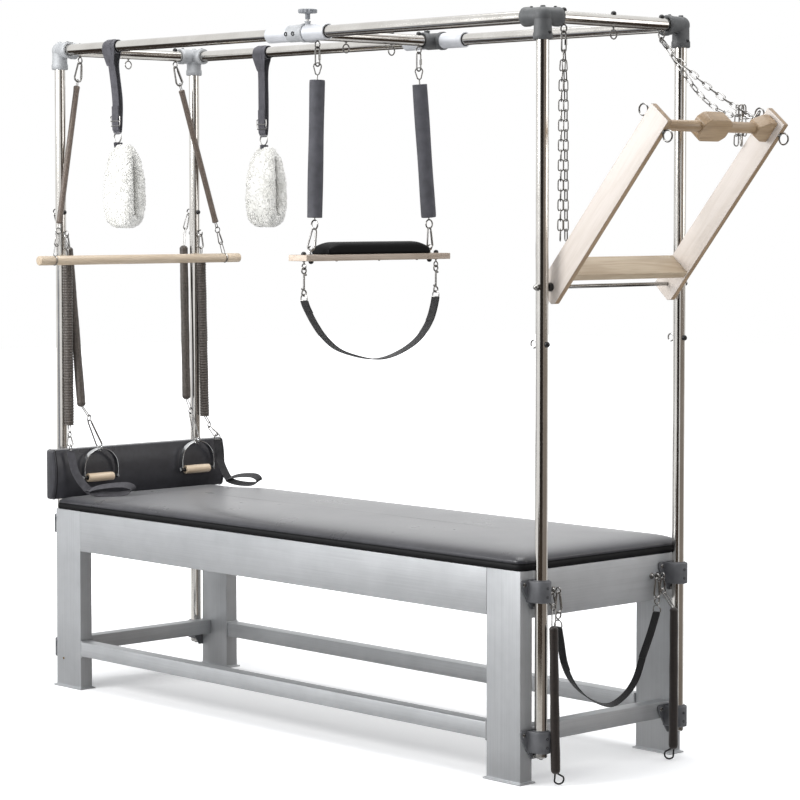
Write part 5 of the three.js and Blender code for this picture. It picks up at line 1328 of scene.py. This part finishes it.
chrome = polished_steel("chromed_strip", ("#B9BBBD", "#DADCDD"), 0.1)
strip = [[-73, -112], [-73, -84], [-66, -58], [-46, -34], [-22, -22], [0, -18]]
strip += [[-y, z] for y, z in strip[-2::-1]]
end_nut = [(7.5, 74.6), (8, 75.2), (8, 78.5), (5, 80.5), (0.3, 80.8)]
grip = [(5.2, -55), (13.6, -55), (14.6, -53.8), (15, -51), (15.3, -20), (15.4, 0)]
grip += [(radius, -height) for radius, height in grip[-2::-1]]
spacer = [(4.4, 55.4), (8, 55.4), (8, 58), (5.6, 58.8), (5.6, 71.4), (4.4, 71.4)]
maple_grip = maple("clear_lacquered_maple_grips", (0, 0, pi / 2), "#EAD9C2", "#D9C2A4")
for side, side_name, y_hang in ((-1, "front", -202.0), (1, "back", 237.0)):
    eye = np.array([-post_x - eye_reach, side * post_y, head_eye_high])
    body, handle = "arm_spring_" + side_name, "d_handle_" + side_name
    top = np.array([-1195, -257, 1549.0]) if side < 0 else np.array([-1198, 266, 1549.0])
    low = np.array([-1110, -267, 984.0]) if side < 0 else np.array([-1150, 238, 984.0])
    run = np.linalg.norm(low - top)
    cap = [(15.5 * np.sin(a), 13 * (1 - np.cos(a))) for a in np.linspace(0.15, pi / 2, 9)]
    level = np.linspace(16, run - 16, 60)
    swell = 15.2 + 0.35 * np.sin(level / 31 + side) + 0.15 * np.sin(level / 5.3)
    cover = between_caps(cap, swell, level, run)
    piece("arm_spring_cover_" + side_name, [turned(cover, low, top - low, 40)], dark_cover, body, body)
    hook_top = eye - in_eye
    hook_low = hook_top + (top - hook_top) * 0.5 - [7, 0, 0]
    steel = snap_hook(hook_top, hook_low, Y, 0.95)
    steel += [wire_loop(hook_low + [0, 0, 5], top - [0, 0, 4], 5.5, 4.5, X, 1.9)]
    hang = np.array([-1089, y_hang, 845.0])
    joint = low + (hang + [0, 0, 52] - low) * 0.4
    steel += [wire_loop(low + [0, 0, 5], joint, 4.6, 6, X, 1.8)]
    steel += [ring(joint - [0, 0, 5], 11, 2.0, X + 0.3 * Y)]
    steel += snap_hook(joint - [0, 0, 13], hang - [0, 0, 4], X * 0.7 + Y * 0.7, 1.1)
    piece("arm_spring_hooks_" + side_name, steel, bright_zinc, body)
    arch = np.array([hang + [0, a, b + 8] for a, b in curve(strip, 60)])
    rod_mid = np.array([-1089, y_hang, 733.0])
    frame_parts = [ribbon(arch, X, 19, 3), ring(hang - [0, 0, 11], 10, 2.1, Y),
                   turned([(2.2, -13), (5.8, -12), (6.5, -10), (6.5, -9.2), (2.2, -8.6)],
                          hang - [0, 0, 8], Z, 20)]
    frame_parts += [bar(rod_mid - [0, 78, 0], rod_mid + [0, 78, 0], 4.2, 20)]
    frame_parts += [turned(end_nut, rod_mid, way, 6) for way in (-Y, Y)]
    piece("d_handle_strip_" + side_name, frame_parts, chrome, handle, handle)
    wood = "hand_grip_" + side_name
    piece("hand_grip_wood_" + side_name, [turned(grip, rod_mid, Y, 40)], maple_grip, wood, wood)
    spacers = [turned(spacer, rod_mid, way, 24) for way in (-Y, Y)]
    piece("hand_grip_spacers_" + side_name, spacers, black_cap, handle)

# Foot end springs and strap
# Short springs with wire loops hang on eyes in the foot apron, and a webbing strap with stitched ends hangs
# in a bow between two more eyes.
apron_eye_x, apron_eye_z = 1167.0, 563.0
spring_eye_y, bow_eye_y = 243, 218
smooth_cover = cloth_cover("dark_brown_spring_sleeve", "#1A1310", "#2A201A", 0.5)
for side, side_name in both_sides:
    body = "end_spring_" + side_name
    eye = np.array([apron_eye_x, side * spring_eye_y, apron_eye_z])
    steel = snap_hook(eye - in_eye, eye - [0, 0, 44], Y, 1.2)
    top = np.array([1214, -287, 471.0]) if side < 0 else np.array([1211, 247, 471.0])
    low = np.array([1217, -280, 34.0]) if side < 0 else np.array([1211, 247, 34.0])
    steel += [ring(eye - [-4, 0, 46], 9.5, 1.9, X)]
    steel += [wire_loop(eye - [-6, 0, 50], top - [0, 0, 5], 6, 6, Y, 2.0)]
    foot = low - side * (16 if side < 0 else 20) * facing - [0, 0, 27]
    loop = [wire_loop(low + [0, 0, 4], foot, 4, 14.5, facing, 2.7, 14)]
    run = 437
    level = np.linspace(14, run - 14, 60)
    swell = 14.2 - 1.6 * level / run + 0.3 * np.sin(level / 19 + side)
    cap = [(13.5 * np.sin(a), 11 * (1 - np.cos(a))) for a in np.linspace(0.2, pi / 2, 8)]
    cover = between_caps(cap, swell, level, run)
    piece("end_spring_cover_" + side_name, [turned(cover, low, top - low, 36)], smooth_cover, body, body)
    piece("end_spring_loop_" + side_name, loop, black_cap, body)
    piece("end_spring_wires_" + side_name, steel, bright_zinc, body)
apron_eyes = []
for y in (-spring_eye_y, -bow_eye_y, bow_eye_y, spring_eye_y):
    spot = np.array([apron_eye_x, y, apron_eye_z])
    shank = [(9.5, -22), (9.5, -20.6), (5.6, -20), (5.6, -17.5), (2.8, -16.5), (2.6, -8)]
    apron_eyes += [ring(spot, 8.8, 2.2, Y), turned(shank, spot, X, 20)]
piece("apron_eyes", apron_eyes, bright_zinc, "root")
bow = [[-1, 0.3], [-0.96, 0.4], [-0.88, 0.6], [-0.7, 0.77], [-0.4, 0.91], [0, 1], [0.32, 0.95],
       [0.56, 0.83], [0.72, 0.64], [0.88, 0.46], [1, 0.3]]
bow_drop = 368
bow_line = curve([[apron_eye_x, a * bow_eye_y, apron_eye_z - b * bow_drop] for a, b in bow], 110)
hang_tilt = X - 0.36 * Z * np.exp(-((np.arange(110) - 44) / 16) ** 2)[:, None]
web = [ribbon(bow_line, hang_tilt, 27, 2.8), ribbon(bow_line[:26] + [0, 2.4, 1.2], X, 26.6, 2.2),
       ribbon(bow_line[-24:] + [0, -2.4, 1.2], X, 26.6, 2.2)]
piece("end_strap_web", web, black_webbing, "end_sling", "end_strap")
piece("end_strap_stitches", stitches(bow_line, X, 27, (19, 21, 23, -23, -21, -19), 5.2), thread, "end_sling")
strap_hooks = []
for side in (-1, 1):
    eye = np.array([apron_eye_x, side * bow_eye_y, apron_eye_z])
    strap_hooks += snap_hook(eye - in_eye, eye - [0, 0, 64], Y, 1.35) + [ring(eye - [0, 0, 73], 10.5, 2.4, X)]
    strap_hooks += [d_ring(eye - [0, 0, 102], 14.5, 13, -6, 13)]
piece("end_strap_hooks", strap_hooks, bright_zinc, "end_sling")

# Hole in the front head leg
# A small hole with a turned brass rim, low in the leg's outer face, drawn as the rim and a black disc that
# stands for the shade inside the hole: painted shade.
brass = polished_steel("turned_brass_rim", ("#8E6E36", "#B08D4C"), 0.3, "polished_tube")
hole = [-1104.8, -leg_y, 100.1]
rim = [(2.6, -0.5), (2.6, 0.5), (3.2, 0.9), (4.0, 0.7), (4.2, -0.5)]
disc = [(0.2, -0.4), (0.3, 0.25), (2.7, 0.25), (2.7, -0.4)]
piece("leg_hole_rim", [turned(rim, hole, -Y, 24)], brass, "root")
# The black disc is painted shade in place of the hole's dark inside.
piece("leg_hole_painted_shade", [turned(disc, hole, -Y, 24)], black_cap, "root")
